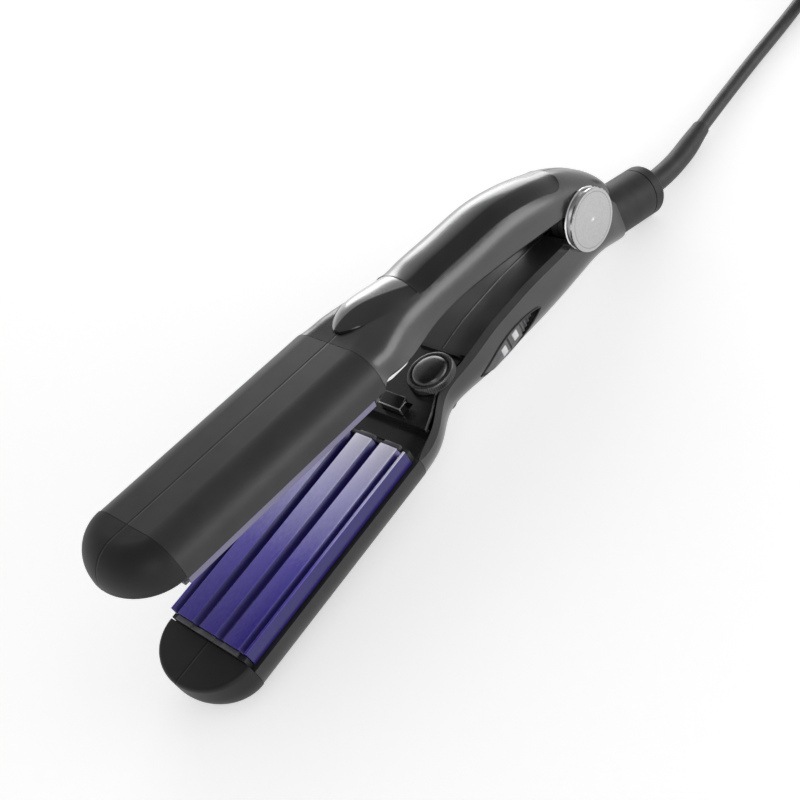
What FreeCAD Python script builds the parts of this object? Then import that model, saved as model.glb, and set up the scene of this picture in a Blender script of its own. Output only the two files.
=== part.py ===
"""Hair crimper: two sprung arms with waved heating plates, on a swivel lead.

Both arms are drawn in one arm frame, in millimetres: origin on the hinge pin's axis, +X towards the
tips, +Y to the switch side, +Z up, with the arms closed. The lower arm is then tipped until it rests
on its tail and its nose, and the upper arm is opened about the pin.
"""
import FreeCAD, Part
import math
import os
import Sketcher

Vector = FreeCAD.Vector
Placement = FreeCAD.Placement
Rotation = FreeCAD.Rotation

SIZES = {
    # arms and heads
    "plate_length": 95.0, "plate_rear": 132.7, "plate_half": 22.5, "plate_gap": 0.8,
    "middle": 7.75, "head_half": 24.0, "head_thick": 23.25, "head_corner": 12.6,
    "rim_gap": 8.25, "wall": 2.4, "seam": 0.15, "head_rear": 130.0,
    "open_angle": 9.3,
    # waved plates
    "land_half": 4.3, "side_land_in": 9.4, "side_land_out": 18.0, "wave_depth": 3.4,
    "wave_slope": 1.5, "edge_ridge": 1.0, "plate_foot": 7.6, "heater_half": 11.0,
    "heater_thick": 2.2, "clamp_thick": 1.0, "carrier_base": 2.0, "carrier_foot": 12.6,
    "carrier_top": 3.0, "end_block": 2.2, "tab_rise": 1.6, "upper_flange": 6.6,
    "nose_length": 19.0, "lower_nose_gap": 4.5, "upper_nose_gap": 8.0, "nose_wall": 2.5,
    "clearance": 0.15,
    # hinge
    "pin_radius": 3.0, "pin_clearance": 0.05, "eye_radius": 11.0, "knuckle_half": 8.0,
    "spring_half": 4.2, "cheek_gap": 0.3, "cheek_thick": 2.6, "disc_radius": 13.6,
    "disc_thick": 1.2, "collar_radius": 11.6, "collar_thick": 2.2, "ring_thick": 0.6,
    "ring_in": 14.15,
    "spring_wire": 0.75, "spring_radius": 5.6, "spring_pitch": 2.0, "spring_leg": 14.0,
    "spring_low_angle": -90.0, "spring_high_angle": -978.7,
    "block_front": 20.0, "block_rear": 9.0, "block_floor": 20.8, "well_gap": 1.4,
    # deck, lock knob and catch
    "deck_rear": 83.2, "deck_top": 3.0, "deck_thick": 2.0, "deck_step": 117.5, "deck_rim": 1.5,
    "knob_x": 96.0, "knob_y": 5.2, "knob_radius": 10.3, "knob_height": 5.2, "knob_cap": 7.6,
    "spindle_radius": 3.0, "cam_radius": 3.9, "cam_thick": 2.0,
    "catch_front": 116.8, "catch_wall": 3.4, "catch_half": 5.8, "catch_top": 8.4, "catch_toe": 1.9,
    "catch_drop": 1.5, "catch_travel": 2.6, "catch_base": 103.6, "keeper_toe": 3.4,
    "upper_deck_low": 16.3,
    # switch
    "switch_front": 81.5, "switch_rear": 42.0, "switch_middle": 62.9, "switch_height": 8.6,
    "switch_z": 10.2, "rocker_y": 9.5, "rocker_back": 8.6, "rocker_gap": 0.35, "rocker_end_gap": 0.9,
    "rocker_pin": 0.8,
    # top lens and inlay
    "lens_base": 28.2, "lens_gap": 0.2,
    "inlay_half": 12.0, "inlay_front": 91.8, "inlay_thick": 1.3, "inlay_proud": 0.15,
    # tail and swivel
    "tail_x": 12.0, "tail_z": 19.2, "tail_droop": 20.5, "tail_radius": 11.6, "tail_start": 2.0,
    "tail_length": 34.6, "tail_bore": 8.8, "bulkhead": 3.4, "stem_radius": 5.4, "flange_radius": 7.6,
    "flange_thick": 3.6, "collar_length": 6.0, "collar_gap": 0.5, "collar_round": 1.5,
    "spigot_radius": 3.7,
    # lead
    "boot_radius": 5.3, "boot_mid_radius": 4.9, "boot_end_radius": 4.1, "boot_bend": 40.0,
    "boot_straight": 14.0, "boot_yaw": 8.0, "lead_radius": 3.4, "lead_rest": 3.6,
    "hank_run": 111.0, "hank_fold": 21.0, "hank_waist": 14.2, "hank_height": 13.8,
    "tie_half": 6.0, "tie_thick": 0.5,
    "plug_neck": 16.0, "plug_length": 34.0, "plug_half": 17.0, "plug_thick": 13.0,
    "pin_spacing": 19.0, "plug_pin_radius": 2.0, "plug_pin_length": 19.0,
    # electrics and screws
    "board_front": 66.0, "board_rear": 25.0, "board_half": 8.0, "board_thick": 1.6, "board_z": 15.4,
    "screw_radius": 1.4, "screw_head": 2.6, "boss_radius": 3.4, "screw_sink": 2.4,
    "screw_head_height": 1.6,
}

# station: x, half width, back (outer) height, face (inner) height, corner radius
LOWER_STATIONS = (
    (130.0, 24.0, -15.5, -0.5, 12.6),
    (120.0, 22.8, -15.5, 0.0, 12.6),
    (111.0, 19.2, -15.6, 0.6, 12.8),
    (103.0, 15.0, -16.0, 1.4, 13.0),
    (94.0, 13.6, -16.3, 2.4, 13.0),
    (83.0, 15.1, -18.0, 3.6, 14.5),
    (70.0, 15.5, -20.6, 4.6, 14.9),
    (56.0, 15.5, -22.3, 4.2, 14.9),
    (42.0, 15.5, -24.2, 3.2, 14.9),
    (28.0, 15.5, -25.7, 1.2, 14.9),
    (14.0, 15.0, -26.9, -1.0, 14.4),
    (3.0, 14.0, -28.0, -1.8, 13.4),
    (-6.0, 14.0, -29.6, -3.2, 13.4),
    (-14.0, 13.4, -32.7, -5.5, 12.8),
    (-20.0, 12.8, -35.2, -8.8, 12.2),
)
UPPER_STATIONS = (
    (130.0, 24.0, 31.0, 16.0, 12.6),
    (120.0, 21.6, 32.0, 14.8, 13.0),
    (111.0, 19.6, 32.6, 13.0, 13.8),
    (103.0, 17.3, 33.0, 12.6, 14.2),
    (94.0, 15.8, 33.4, 13.4, 14.8),
    (83.0, 15.3, 33.5, 14.2, 14.7),
    (70.0, 15.5, 33.5, 14.2, 14.9),
    (56.0, 15.5, 33.5, 12.9, 14.9),
    (42.0, 15.5, 33.2, 11.4, 14.9),
    (28.0, 15.5, 30.8, 9.5, 14.9),
    (14.0, 15.0, 26.8, 7.2, 14.4),
    (3.0, 14.0, 22.9, 4.2, 13.4),
    (-6.0, 14.0, 18.4, 1.2, 13.4),
    (-14.0, 13.2, 13.0, -1.4, 11.6),
    (-19.0, 12.0, 8.2, -3.4, 9.0),
    (-22.0, 10.5, 3.0, -4.4, 5.0),
)
OPEN_STATIONS = 6   # the first stations have no inner face: the decks close them
WALLED_STATIONS = 15   # from here to the tail a handle is solid
EDGE = 2.2   # chamfer along the inner edge of both handles

doc = FreeCAD.newDocument("hair_crimper")
sheet = doc.addObject("Spreadsheet::Sheet", "sizes")
nodes = []


class Size:
    """A length together with the spreadsheet expression that gives it."""

    def __init__(self, value, text):
        self.value = float(value)
        self.text = text

    def __add__(self, other):
        return join(self, "+", other)

    def __radd__(self, other):
        return join(other, "+", self)

    def __sub__(self, other):
        return join(self, "-", other)

    def __rsub__(self, other):
        return join(other, "-", self)

    def __mul__(self, other):
        return join(self, "*", other)

    def __rmul__(self, other):
        return join(other, "*", self)

    def __truediv__(self, other):
        return join(self, "/", other)

    def __neg__(self):
        return Size(-self.value, "(0 - %s)" % self.text)


def as_size(item):
    return item if isinstance(item, Size) else Size(item, "(%.6f)" % item)


def join(left, sign, right):
    left, right = as_size(left), as_size(right)
    results = {
        "+": left.value + right.value,
        "-": left.value - right.value,
        "*": left.value * right.value,
        "/": left.value / right.value if right.value else 0.0,
    }
    return Size(results[sign], "(%s %s %s)" % (left.text, sign, right.text))


class Sheet:
    """Gives each cell of the spreadsheet as a Size, by its alias."""

    def __init__(self, values):
        for row, (alias, value) in enumerate(values.items(), 1):
            sheet.set("A%d" % row, alias)
            sheet.set("B%d" % row, "%g" % value)
            sheet.setAlias("B%d" % row, alias)
            setattr(self, alias, Size(value, "sizes." + alias))


def station_cells(arm, stations):
    names = ("x", "half", "back", "face", "corner")
    cells = {}
    for number, station in enumerate(stations, 1):
        for name, value in zip(names, station):
            cells["%s%02d_%s" % (arm, number, name)] = value
    return cells


cells = dict(SIZES)
cells["handle_edge"] = EDGE
cells.update(station_cells("lower", LOWER_STATIONS))
cells.update(station_cells("upper", UPPER_STATIONS))
s = Sheet(cells)
doc.recompute()


# ---------------------------------------------------------------- drawing helpers

NORMALS = {"XY": 1, "XZ": -1, "YZ": 1}


def new_body(label, arm):
    body = doc.addObject("PartDesign::Body", label)
    body.Label = label
    nodes.append((body, arm))
    return body


def origin_plane(body, plane):
    for feature in body.Origin.OriginFeatures:
        if feature.Role == plane + "_Plane":
            return feature
    raise ValueError(plane)


def bind(item, path, size):
    if isinstance(size, Size):
        item.setExpression(path, size.text)


def bind_point(sketch, geometry, corner, u, v):
    for kind, axis, size in (("DistanceX", -2, u), ("DistanceY", -1, v)):
        size = as_size(size)
        if abs(size.value) < 1e-9:
            sketch.addConstraint(Sketcher.Constraint("PointOnObject", geometry, corner, axis))
            continue
        number = sketch.addConstraint(
            Sketcher.Constraint(kind, -1, 1, geometry, corner, size.value))
        sketch.setExpression("Constraints[%d]" % number, size.text)


def draw_outline(sketch, outline):
    """Closed outline; (u, v) is reached by a line, (u, v, cu, cv, turn) by an arc about cu, cv."""
    first = sketch.GeometryCount
    count = len(outline)
    ends = []
    for index, item in enumerate(outline):
        before = outline[index - 1]
        start = Vector(as_size(before[0]).value, as_size(before[1]).value, 0)
        stop = Vector(as_size(item[0]).value, as_size(item[1]).value, 0)
        if len(item) == 2:
            sketch.addGeometry(Part.LineSegment(start, stop), False)
            ends.append((1, 2))
            continue
        centre = Vector(as_size(item[2]).value, as_size(item[3]).value, 0)
        angles = [math.atan2(p.y - centre.y, p.x - centre.x) for p in (start, stop)]
        if item[4] < 0:
            angles.reverse()
        if angles[1] <= angles[0]:
            angles[1] += 2 * math.pi
        circle = Part.Circle(centre, Vector(0, 0, 1), (start - centre).Length)
        sketch.addGeometry(Part.ArcOfCircle(circle, angles[0], angles[1]), False)
        ends.append((1, 2) if item[4] > 0 else (2, 1))
    for index, item in enumerate(outline):
        after = (index + 1) % count
        sketch.addConstraint(Sketcher.Constraint(
            "Coincident", first + index, ends[index][1], first + after, ends[after][0]))
        bind_point(sketch, first + index, ends[index][1], item[0], item[1])
        if len(item) == 5:
            before = outline[index - 1]
            across = abs(as_size(item[0]).value - as_size(before[0]).value)
            along = abs(as_size(item[1]).value - as_size(before[1]).value)
            if along > across:
                kind, size, axis = "DistanceX", as_size(item[2]), -2
            else:
                kind, size, axis = "DistanceY", as_size(item[3]), -1
            if abs(size.value) < 1e-9:
                sketch.addConstraint(
                    Sketcher.Constraint("PointOnObject", first + index, 3, axis))
            else:
                number = sketch.addConstraint(
                    Sketcher.Constraint(kind, -1, 1, first + index, 3, size.value))
                sketch.setExpression("Constraints[%d]" % number, size.text)


def draw_circle(sketch, u, v, radius):
    u, v, radius = as_size(u), as_size(v), as_size(radius)
    circle = Part.Circle(Vector(u.value, v.value, 0), Vector(0, 0, 1), radius.value)
    number = sketch.addGeometry(circle, False)
    bind_point(sketch, number, 3, u, v)
    row = sketch.addConstraint(Sketcher.Constraint("Radius", number, radius.value))
    sketch.setExpression("Constraints[%d]" % row, radius.text)


def new_sketch(body, plane, height=0.0, shift=(0.0, 0.0), turn=0.0):
    sketch = body.newObject("Sketcher::SketchObject", "sketch")
    sketch.AttachmentSupport = (origin_plane(body, plane), [""])
    sketch.MapMode = "FlatFace"
    height = as_size(height) * NORMALS[plane]
    u, v = as_size(shift[0]), as_size(shift[1])
    sketch.AttachmentOffset = Placement(
        Vector(u.value, v.value, height.value), Rotation(Vector(0, 0, 1), turn))
    for path, size in (("x", u), ("y", v), ("z", height)):
        sketch.setExpression("AttachmentOffset.Base." + path, size.text)
    return sketch


def prism(body, plane, low, high, outlines, cut=False, circles=()):
    """Pad or pocket between two heights along +Z (XY), +Y (XZ) or +X (YZ)."""
    low, high = as_size(low), as_size(high)
    sketch = new_sketch(body, plane, low if NORMALS[plane] > 0 else high)
    for outline in outlines:
        draw_outline(sketch, outline)
    for circle in circles:
        draw_circle(sketch, *circle)
    kind = "PartDesign::Pocket" if cut else "PartDesign::Pad"
    feature = body.newObject(kind, "cut" if cut else "block")
    feature.Profile = sketch
    feature.Length = (high - low).value
    feature.setExpression("Length", (high - low).text)
    feature.Reversed = bool(cut)
    body.Tip = feature
    return feature


def turned(body, outline, plane="XZ", axis="H_Axis", height=0.0, shift=(0.0, 0.0), turn=0.0,
           cut=False):
    """Solid of revolution of an outline about one of its sketch's own axes."""
    sketch = new_sketch(body, plane, height, shift, turn)
    draw_outline(sketch, outline)
    kind = "PartDesign::Groove" if cut else "PartDesign::Revolution"
    feature = body.newObject(kind, "groove" if cut else "turning")
    feature.Profile = sketch
    feature.ReferenceAxis = (sketch, [axis])
    feature.Angle = 360.0
    body.Tip = feature
    return feature


def lofted(body, sections, cut=False):
    """Loft through outlines given as (x, outline) across the YZ plane."""
    sketches = []
    for x, outline in sections:
        sketch = new_sketch(body, "YZ", x)
        draw_outline(sketch, outline)
        sketches.append(sketch)
    kind = "PartDesign::SubtractiveLoft" if cut else "PartDesign::AdditiveLoft"
    feature = body.newObject(kind, "hollow" if cut else "loft")
    feature.Profile = sketches[0]
    feature.Sections = sketches[1:]
    feature.Ruled = False
    feature.Closed = False
    body.Tip = feature
    return feature


def rounded(body, radius, picker):
    doc.recompute()
    base = body.Tip
    names = ["Edge%d" % n for n, edge in enumerate(base.Shape.Edges, 1) if picker(edge)]
    feature = body.newObject("PartDesign::Fillet", "rounding")
    feature.Base = (base, names)
    feature.Radius = as_size(radius).value
    bind(feature, "Radius", radius)
    body.Tip = feature
    return feature


def rectangle(u0, u1, v0, v1):
    return [(u1, v0), (u1, v1), (u0, v1), (u0, v0)]


def box(label, arm, x, y, z):
    body = new_body(label, arm)
    prism(body, "XY", z[0], z[1], [rectangle(x[0], x[1], y[0], y[1])])
    return body


# ---------------------------------------------------------------- shells of both arms

def station(arm, number):
    name = "%s%02d_" % (arm, number)
    return [getattr(s, name + part) for part in ("x", "half", "back", "face", "corner")]


def outer_half(arm, number, side):
    """Half section of a handle: flat inner face, chamfered edge, straight side, round back."""
    x, half, back, face, corner = station(arm, number)
    up = 1 if arm == "upper" else -1
    edge = s.handle_edge * (1.0 if number > 1 else 0.2)
    return x, [
        (0, face), (side * (half - edge), face), (side * half, face + up * edge),
        (side * half, back - up * corner),
        (side * (half - corner), back, side * (half - corner), back - up * corner, side * up),
        (0, back),
    ]


def inner_half(arm, number, side, lift):
    """The same section inside the wall; lift moves its inner edge away from the face."""
    x, half, back, face, corner = station(arm, number)
    up = 1 if arm == "upper" else -1
    return x, [
        (0, face + up * lift), (side * (half - s.wall), face + up * lift),
        (side * (half - s.wall), back - up * corner),
        (side * (half - corner), back - up * s.wall, side * (half - corner), back - up * corner,
         side * up),
        (0, back - up * s.wall),
    ]


def handle_half(label, arm, side):
    count = len(LOWER_STATIONS if arm == "lower" else UPPER_STATIONS)
    body = new_body(label, arm)
    lofted(body, [outer_half(arm, number, side) for number in range(1, count + 1)])
    open_part = range(1, OPEN_STATIONS + 1)
    lofted(body, [inner_half(arm, number, side, -1.0) for number in open_part], cut=True)
    walled_part = range(OPEN_STATIONS, WALLED_STATIONS)
    lofted(body, [inner_half(arm, number, side, s.wall) for number in walled_part], cut=True)
    # well for the hinge eyes and hole for the pin
    well = s.eye_radius + s.well_gap
    reach = s.knuckle_half + s.cheek_gap + s.cheek_thick + s.clearance
    low, high = (0, reach) if side > 0 else (-reach, 0)
    prism(body, "XZ", low, high, [], cut=True, circles=[(0, 0, well)])
    low, high = (0, 20) if side > 0 else (-20, 0)
    prism(body, "XZ", low, high, [], cut=True, circles=[(0, 0, s.pin_radius + 0.6)])
    low, high = (s.ring_in - 0.1, 20) if side > 0 else (-20, 0.1 - s.ring_in)
    prism(body, "XZ", low, high, [], cut=True, circles=[(0, 0, s.disc_radius + 0.5)])
    return body


def screw_boss(body, side, x, z, reach):
    """Boss in each half; the screw enters from the left side, its head sunk in the left boss."""
    if side > 0:
        prism(body, "XZ", 0, reach, [], circles=[(x, z, s.boss_radius)])
        prism(body, "XZ", 0, 8, [], cut=True, circles=[(x, z, s.screw_radius)])
    else:
        head_seat = s.screw_sink - reach
        prism(body, "XZ", -reach, 0, [], circles=[(x, z, s.boss_radius)])
        prism(body, "XZ", -18, 0, [], cut=True, circles=[(x, z, s.screw_radius + 0.1)])
        prism(body, "XZ", -18, head_seat, [], cut=True, circles=[(x, z, s.screw_head + 0.1)])


def screws(label, arm, places):
    members = []
    for x, z, reach in places:
        head_seat = s.screw_sink - reach
        body = doc.addObject("PartDesign::Body", label + "_one")
        prism(body, "XZ", head_seat, 7.6, [], circles=[(x, z, s.screw_radius)])
        prism(body, "XZ", head_seat - s.screw_head_height, head_seat, [],
              circles=[(x, z, s.screw_head)])
        members.append(body)
    group(label, arm, members)


def group(label, arm, members):
    """Like pieces that share one node, as a compound of separate solids."""
    compound = doc.addObject("Part::Compound", label)
    compound.Label = label
    compound.Links = members
    nodes.append((compound, arm))
    return compound


# screws: x, z and how far the bosses reach sideways into the wall
LOWER_SCREWS = ((34.0, -9.0, 14.0), (98.0, -8.0, 11.2))
UPPER_SCREWS = ((30.0, 19.0, 13.8), (88.0, 22.0, 13.0))

lower_left = handle_half("lower_handle_shell_left", "lower", -1)
lower_right = handle_half("lower_handle_shell_right", "lower", 1)
upper_left = handle_half("upper_handle_shell_left", "upper", -1)
upper_right = handle_half("upper_handle_shell_right", "upper", 1)
tail_turn = 180.0 + SIZES["tail_droop"]
tail_shift = (-s.tail_x, -s.tail_z)

for body, side in ((lower_left, -1), (lower_right, 1)):
    bore = s.tail_radius + 0.05
    mouth = s.tail_start - 0.2
    turned(body, [(mouth, 0), (40, 0), (40, bore), (mouth, bore)],
           shift=tail_shift, turn=tail_turn, cut=True)
    prism(body, "YZ", -20, -10, [], cut=True, circles=[(0, -17.2, 3)])
    for x, z, reach in LOWER_SCREWS:
        screw_boss(body, side, x, z, reach)
for body, side in ((upper_left, -1), (upper_right, 1)):
    for x, z, reach in UPPER_SCREWS:
        screw_boss(body, side, x, z, reach)
screws("lower_screws", "lower", LOWER_SCREWS)
screws("upper_screws", "upper", UPPER_SCREWS)


# ---------------------------------------------------------------- heads

def away(arm, depth):
    """Height at a depth from the middle plane between the closed plates."""
    return s.middle + depth if arm == "upper" else s.middle - depth


def span(arm, near, far):
    """Low and high of two depths, whichever arm they are in."""
    ends = (away(arm, near), away(arm, far))
    return ends if arm == "upper" else (ends[1], ends[0])


head_front = s.plate_rear + s.plate_length + 2.2
head_start = s.head_rear + s.seam


def head_half(label, arm, side):
    """Half of the cover round a head: a channel with round shoulders and bosses inside."""
    up = 1 if arm == "upper" else -1
    body = new_body(label, arm)
    back = away(arm, s.head_thick)
    rim = away(arm, s.rim_gap)
    middle_u = side * (s.head_half - s.head_corner)
    middle_v = back - up * s.head_corner
    inner = side * (s.head_half - s.wall)
    prism(body, "YZ", head_start, head_front, [[
        (0, back), (middle_u, back),
        (side * s.head_half, middle_v, middle_u, middle_v, -side * up),
        (side * s.head_half, rim), (inner, rim),
        (inner, middle_v),
        (middle_u, back - up * s.wall, middle_u, middle_v, side * up),
        (0, back - up * s.wall),
    ]])
    low, high = span(arm, s.carrier_foot, s.head_thick - s.wall)
    for x in (150.0, 212.0):
        prism(body, "XY", low, high, [], circles=[(x, side * 12.0, 3.0)])
    return body


def wave_profile(arm):
    """Half the waved face, as (y, height); the lower plate also has a ridge along each side."""
    surface = s.plate_gap / 2
    valley = surface + s.wave_depth
    ridge = s.plate_half - s.edge_ridge
    steps = [
        (s.land_half, 0), (s.land_half + s.wave_slope, 1),
        (s.side_land_in - s.wave_slope, 1), (s.side_land_in, 0), (s.side_land_out, 0),
    ]
    if arm == "lower":
        steps += [(s.side_land_out + s.wave_slope, 1), (ridge - s.wave_slope, 1), (ridge, 0),
                  (s.plate_half, 0)]
        return [(y, away(arm, valley if deep else surface)) for y, deep in steps]
    wave = [(y, away(arm, s.plate_gap - valley if deep else surface)) for y, deep in steps]
    flange = away(arm, s.upper_flange)
    return wave + [(s.side_land_out, flange), (s.head_half - s.wall - s.clearance, flange)]


def crimp_plate(arm):
    body = new_body(arm + "_crimp_plate", arm)
    foot = away(arm, s.plate_foot)
    roof = away(arm, s.plate_foot - s.heater_thick + 0.3)
    wave = wave_profile(arm)
    half = wave + [(wave[-1][0], foot), (s.heater_half + 0.2, foot), (s.heater_half + 0.2, roof)]
    left = [(-u, v) for u, v in reversed(half)]
    prism(body, "YZ", s.plate_rear, s.plate_rear + s.plate_length, [half + left])


def plate_carrier(arm):
    """Tray that holds the plate: side rails, a floor, and a block at each end."""
    body = new_body(arm + "_plate_carrier", arm)
    front = s.plate_rear + s.plate_length + s.clearance
    rear = s.plate_rear - s.clearance
    half = s.head_half - s.wall - 0.1
    seat = away(arm, s.plate_foot + 0.1)
    floor = away(arm, s.carrier_foot - s.carrier_base - 0.1)
    base = away(arm, s.carrier_foot - 0.1)
    prism(body, "YZ", rear, front, [[
        (half, seat), (half, floor), (half - 2, base), (2 - half, base), (-half, floor),
        (-half, seat), (3 + -half, seat), (3 + -half, floor), (half - 3, floor),
        (half - 3, seat)]])
    low, high = span(arm, s.carrier_top, s.carrier_foot - 1.1)
    wide = half if arm == "lower" else s.side_land_out + 0.3
    prism(body, "XY", low, high, [rectangle(front, front + s.end_block - 0.3, -wide, wide)])
    prism(body, "XY", low, high, [rectangle(rear - s.end_block, rear, -wide, wide)])


def end_tabs(arm):
    """Pale comb strips on both end blocks that keep the plate from sliding out."""
    front = s.plate_rear + s.plate_length + s.clearance
    rear = s.plate_rear - s.clearance
    low, high = span(arm, s.carrier_top - s.tab_rise, s.carrier_top)
    members = []
    for start in (front, rear - s.end_block):
        body = doc.addObject("PartDesign::Body", arm + "_tab_strip")
        foot = span(arm, s.carrier_top - 0.5, s.carrier_top)
        stop = start + s.end_block - 0.3
        prism(body, "XY", foot[0], foot[1],
              [rectangle(start, stop, -s.side_land_out, s.side_land_out)])
        lands = ((-s.side_land_out, -s.side_land_in), (-s.land_half, s.land_half),
                 (s.side_land_in, s.side_land_out))
        for left, right in lands:
            prism(body, "XY", low, high, [rectangle(start, stop, left, right)])
        members.append(body)
    group(arm + "_end_tabs", arm, members)


def heater(arm):
    """Ceramic heating strip in the plate's pocket, and the spring clamp that backs it."""
    front = s.plate_rear + s.plate_length - 8
    rear = s.plate_rear + 8
    near = s.plate_foot - s.heater_thick + 0.35
    strip = span(arm, near, near + s.heater_thick)
    box(arm + "_heating_strip", arm, (rear, front), (-s.heater_half, s.heater_half), strip)
    body = new_body(arm + "_heater_clamp", arm)
    top = near + s.heater_thick + 0.1
    half = s.heater_half
    floor = away(arm, s.carrier_foot - s.carrier_base - 0.2)
    leaf = away(arm, top)
    under = away(arm, top + s.clamp_thick)
    prism(body, "YZ", rear + 6, front - 6, [[
        (half, leaf), (half, floor), (half - 1, floor), (half - 1, under),
        (1 + -half, under), (1 + -half, floor), (-half, floor), (-half, leaf)]])


def nose_cap(arm):
    """Hollow rounded end of a head, half an ellipse in plan."""
    body = new_body(arm + "_nose_cap", arm)
    joint = head_front + s.seam
    gap = s.lower_nose_gap if arm == "lower" else s.upper_nose_gap
    low, high = span(arm, gap, s.head_thick)
    sketch = new_sketch(body, "XY", low)
    draw_half_ellipse(sketch, joint, s.nose_length, s.head_half)
    feature = body.newObject("PartDesign::Pad", "block")
    feature.Profile = sketch
    feature.Length = (high - low).value
    feature.setExpression("Length", (high - low).text)
    body.Tip = feature
    back = away(arm, s.head_thick).value
    face = away(arm, gap).value
    rounded(body, s.head_corner - 0.6, lambda edge: on_height(edge, back) and is_curved(edge))
    rounded(body, 1.6, lambda edge: on_height(edge, face) and is_curved(edge))
    low, high = span(arm, gap + s.nose_wall, s.head_thick - s.nose_wall)
    inner = s.head_half - 9.0
    prism(body, "XY", low, high, [[
        (joint - 1, -inner), (joint + 5, -inner), (joint + 9, -5), (joint + 9, 5),
        (joint + 5, inner), (joint - 1, inner)]], cut=True)


def draw_half_ellipse(sketch, x, length, half):
    """Half ellipse bulging to +u from the line at x, closed along that line."""
    x, length, half = x.value, length.value, half.value
    ellipse = Part.Ellipse(Vector(x, -half, 0), Vector(x + length, 0, 0), Vector(x, 0, 0))
    sketch.addGeometry(Part.ArcOfEllipse(ellipse, 0, math.pi), False)
    sketch.addGeometry(Part.LineSegment(Vector(x, half, 0), Vector(x, -half, 0)), False)


def on_height(edge, height):
    box_of = edge.BoundBox
    return abs(box_of.ZMin - height) < 1e-4 and abs(box_of.ZMax - height) < 1e-4


def is_curved(edge):
    return edge.Curve.TypeId != "Part::GeomLine"


for arm in ("lower", "upper"):
    for side, name in ((-1, "left"), (1, "right")):
        head_half("%s_head_shell_%s" % (arm, name), arm, side)
    crimp_plate(arm)
    plate_carrier(arm)
    end_tabs(arm)
    heater(arm)
    nose_cap(arm)


# ---------------------------------------------------------------- deck, lock and keeper

def inner_reach(arm, number, extra):
    x, half = station(arm, number)[:2]
    return x, half - s.wall - extra


def deck_outline(arm, rear, front, front_half, numbers):
    right = [inner_reach(arm, number, 0.6) for number in numbers]
    right = [(rear, right[0][1])] + right[1:] + [(front, front_half)]
    return right + [(x, -y) for x, y in reversed(right)]


deck_end = s.plate_rear - s.clearance - s.end_block - s.clearance
shell_inner = s.head_half - s.wall
deck = new_body("lower_deck", "lower")
step_end = s.deck_step + 1.5
prism(deck, "XY", s.deck_top - s.deck_thick, s.deck_top,
      [deck_outline("lower", s.deck_rear, step_end, shell_inner - 2.2, (6, 5, 4, 3))])
prism(deck, "XY", -3, -1, [[
    (s.deck_step, 2.4 - shell_inner), (deck_end, 0.3 - shell_inner),
    (deck_end, shell_inner - 0.3), (s.deck_step, shell_inner - 2.4)]])
prism(deck, "XY", -3, s.deck_top - s.deck_thick, [
    rectangle(s.deck_step, step_end, 2.4 - shell_inner, shell_inner - 2.4)])
prism(deck, "XY", s.deck_top, s.deck_top + s.deck_rim, [
    rectangle(s.deck_rear, s.deck_rear + 1.5, -11, 11)])
slot_rear = s.catch_front - s.catch_wall - s.catch_travel - 0.3
prism(deck, "XY", 0, s.deck_top + 1, [
    rectangle(slot_rear, s.catch_front + 0.3, -0.3 - s.catch_half, s.catch_half + 0.3)], cut=True)
prism(deck, "XY", 0, s.deck_top + 1, [], cut=True,
      circles=[(s.knob_x, s.knob_y, s.spindle_radius + s.pin_clearance)])

knob_seat = s.deck_top + 0.3
knob = new_body("lock_knob", "lower")
turned(knob, [
    (s.spindle_radius, knob_seat), (s.knob_radius, knob_seat),
    (s.knob_radius, knob_seat + 3.2), (s.knob_radius - 0.9, knob_seat + 3.9),
    (s.knob_cap, knob_seat + 4.1), (s.knob_cap - 1, knob_seat + s.knob_height),
    (0, knob_seat + s.knob_height + 0.3), (0, knob_seat + 2), (s.spindle_radius, knob_seat + 2),
], axis="V_Axis", height=s.knob_y, shift=(s.knob_x, 0.0))
spindle = new_body("lock_spindle", "lower")
cam_top = s.deck_top - s.deck_thick - 0.15
turned(spindle, [
    (0, cam_top - s.cam_thick), (s.cam_radius, cam_top - s.cam_thick), (s.cam_radius, cam_top),
    (s.spindle_radius, cam_top), (s.spindle_radius, knob_seat + 2), (0, knob_seat + 2),
], axis="V_Axis", height=s.knob_y, shift=(s.knob_x, 0.0))

catch = new_body("lock_catch", "lower")
catch_rear = s.catch_front - s.catch_wall
toe_rear = catch_rear - s.catch_toe
base_top = s.deck_top - s.deck_thick - 0.2
prism(catch, "XZ", -s.catch_half, s.catch_half, [[
    (s.catch_base, base_top - 2.7), (s.catch_front, base_top - 2.7),
    (s.catch_front, s.catch_top - s.catch_drop), (toe_rear, s.catch_top),
    (toe_rear, s.catch_top - 2.4), (catch_rear, s.catch_top - 2.4), (catch_rear, base_top),
    (s.catch_base, base_top)]])

upper_deck = new_body("upper_deck", "upper")
prism(upper_deck, "XY", s.upper_deck_low, s.upper_deck_low + s.deck_thick, [
    deck_outline("upper", s.deck_rear, deck_end, shell_inner - 0.3, (6, 5, 4, 3, 2, 1))])
# its rear edge drops to the handle's own inner wall
deck_foot = station("upper", OPEN_STATIONS)[3] + 0.3
prism(upper_deck, "XY", deck_foot, s.upper_deck_low + 0.5, [
    rectangle(s.deck_rear, s.deck_rear + s.deck_thick, -11.8, 11.8)])
keeper = new_body("lock_keeper", "upper")
keeper_front = toe_rear - 0.9
keeper_top = s.upper_deck_low - 0.1
toe_top = s.catch_top - 2.8
prism(keeper, "XZ", -6.4, -1.6, [[
    (keeper_front - 6, keeper_top), (keeper_front - 6, toe_top - 1.7),
    (keeper_front, toe_top - 1.7), (keeper_front, toe_top), (keeper_front - s.keeper_toe, toe_top),
    (keeper_front - s.keeper_toe, keeper_top)]])


# ---------------------------------------------------------------- hinge

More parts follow.
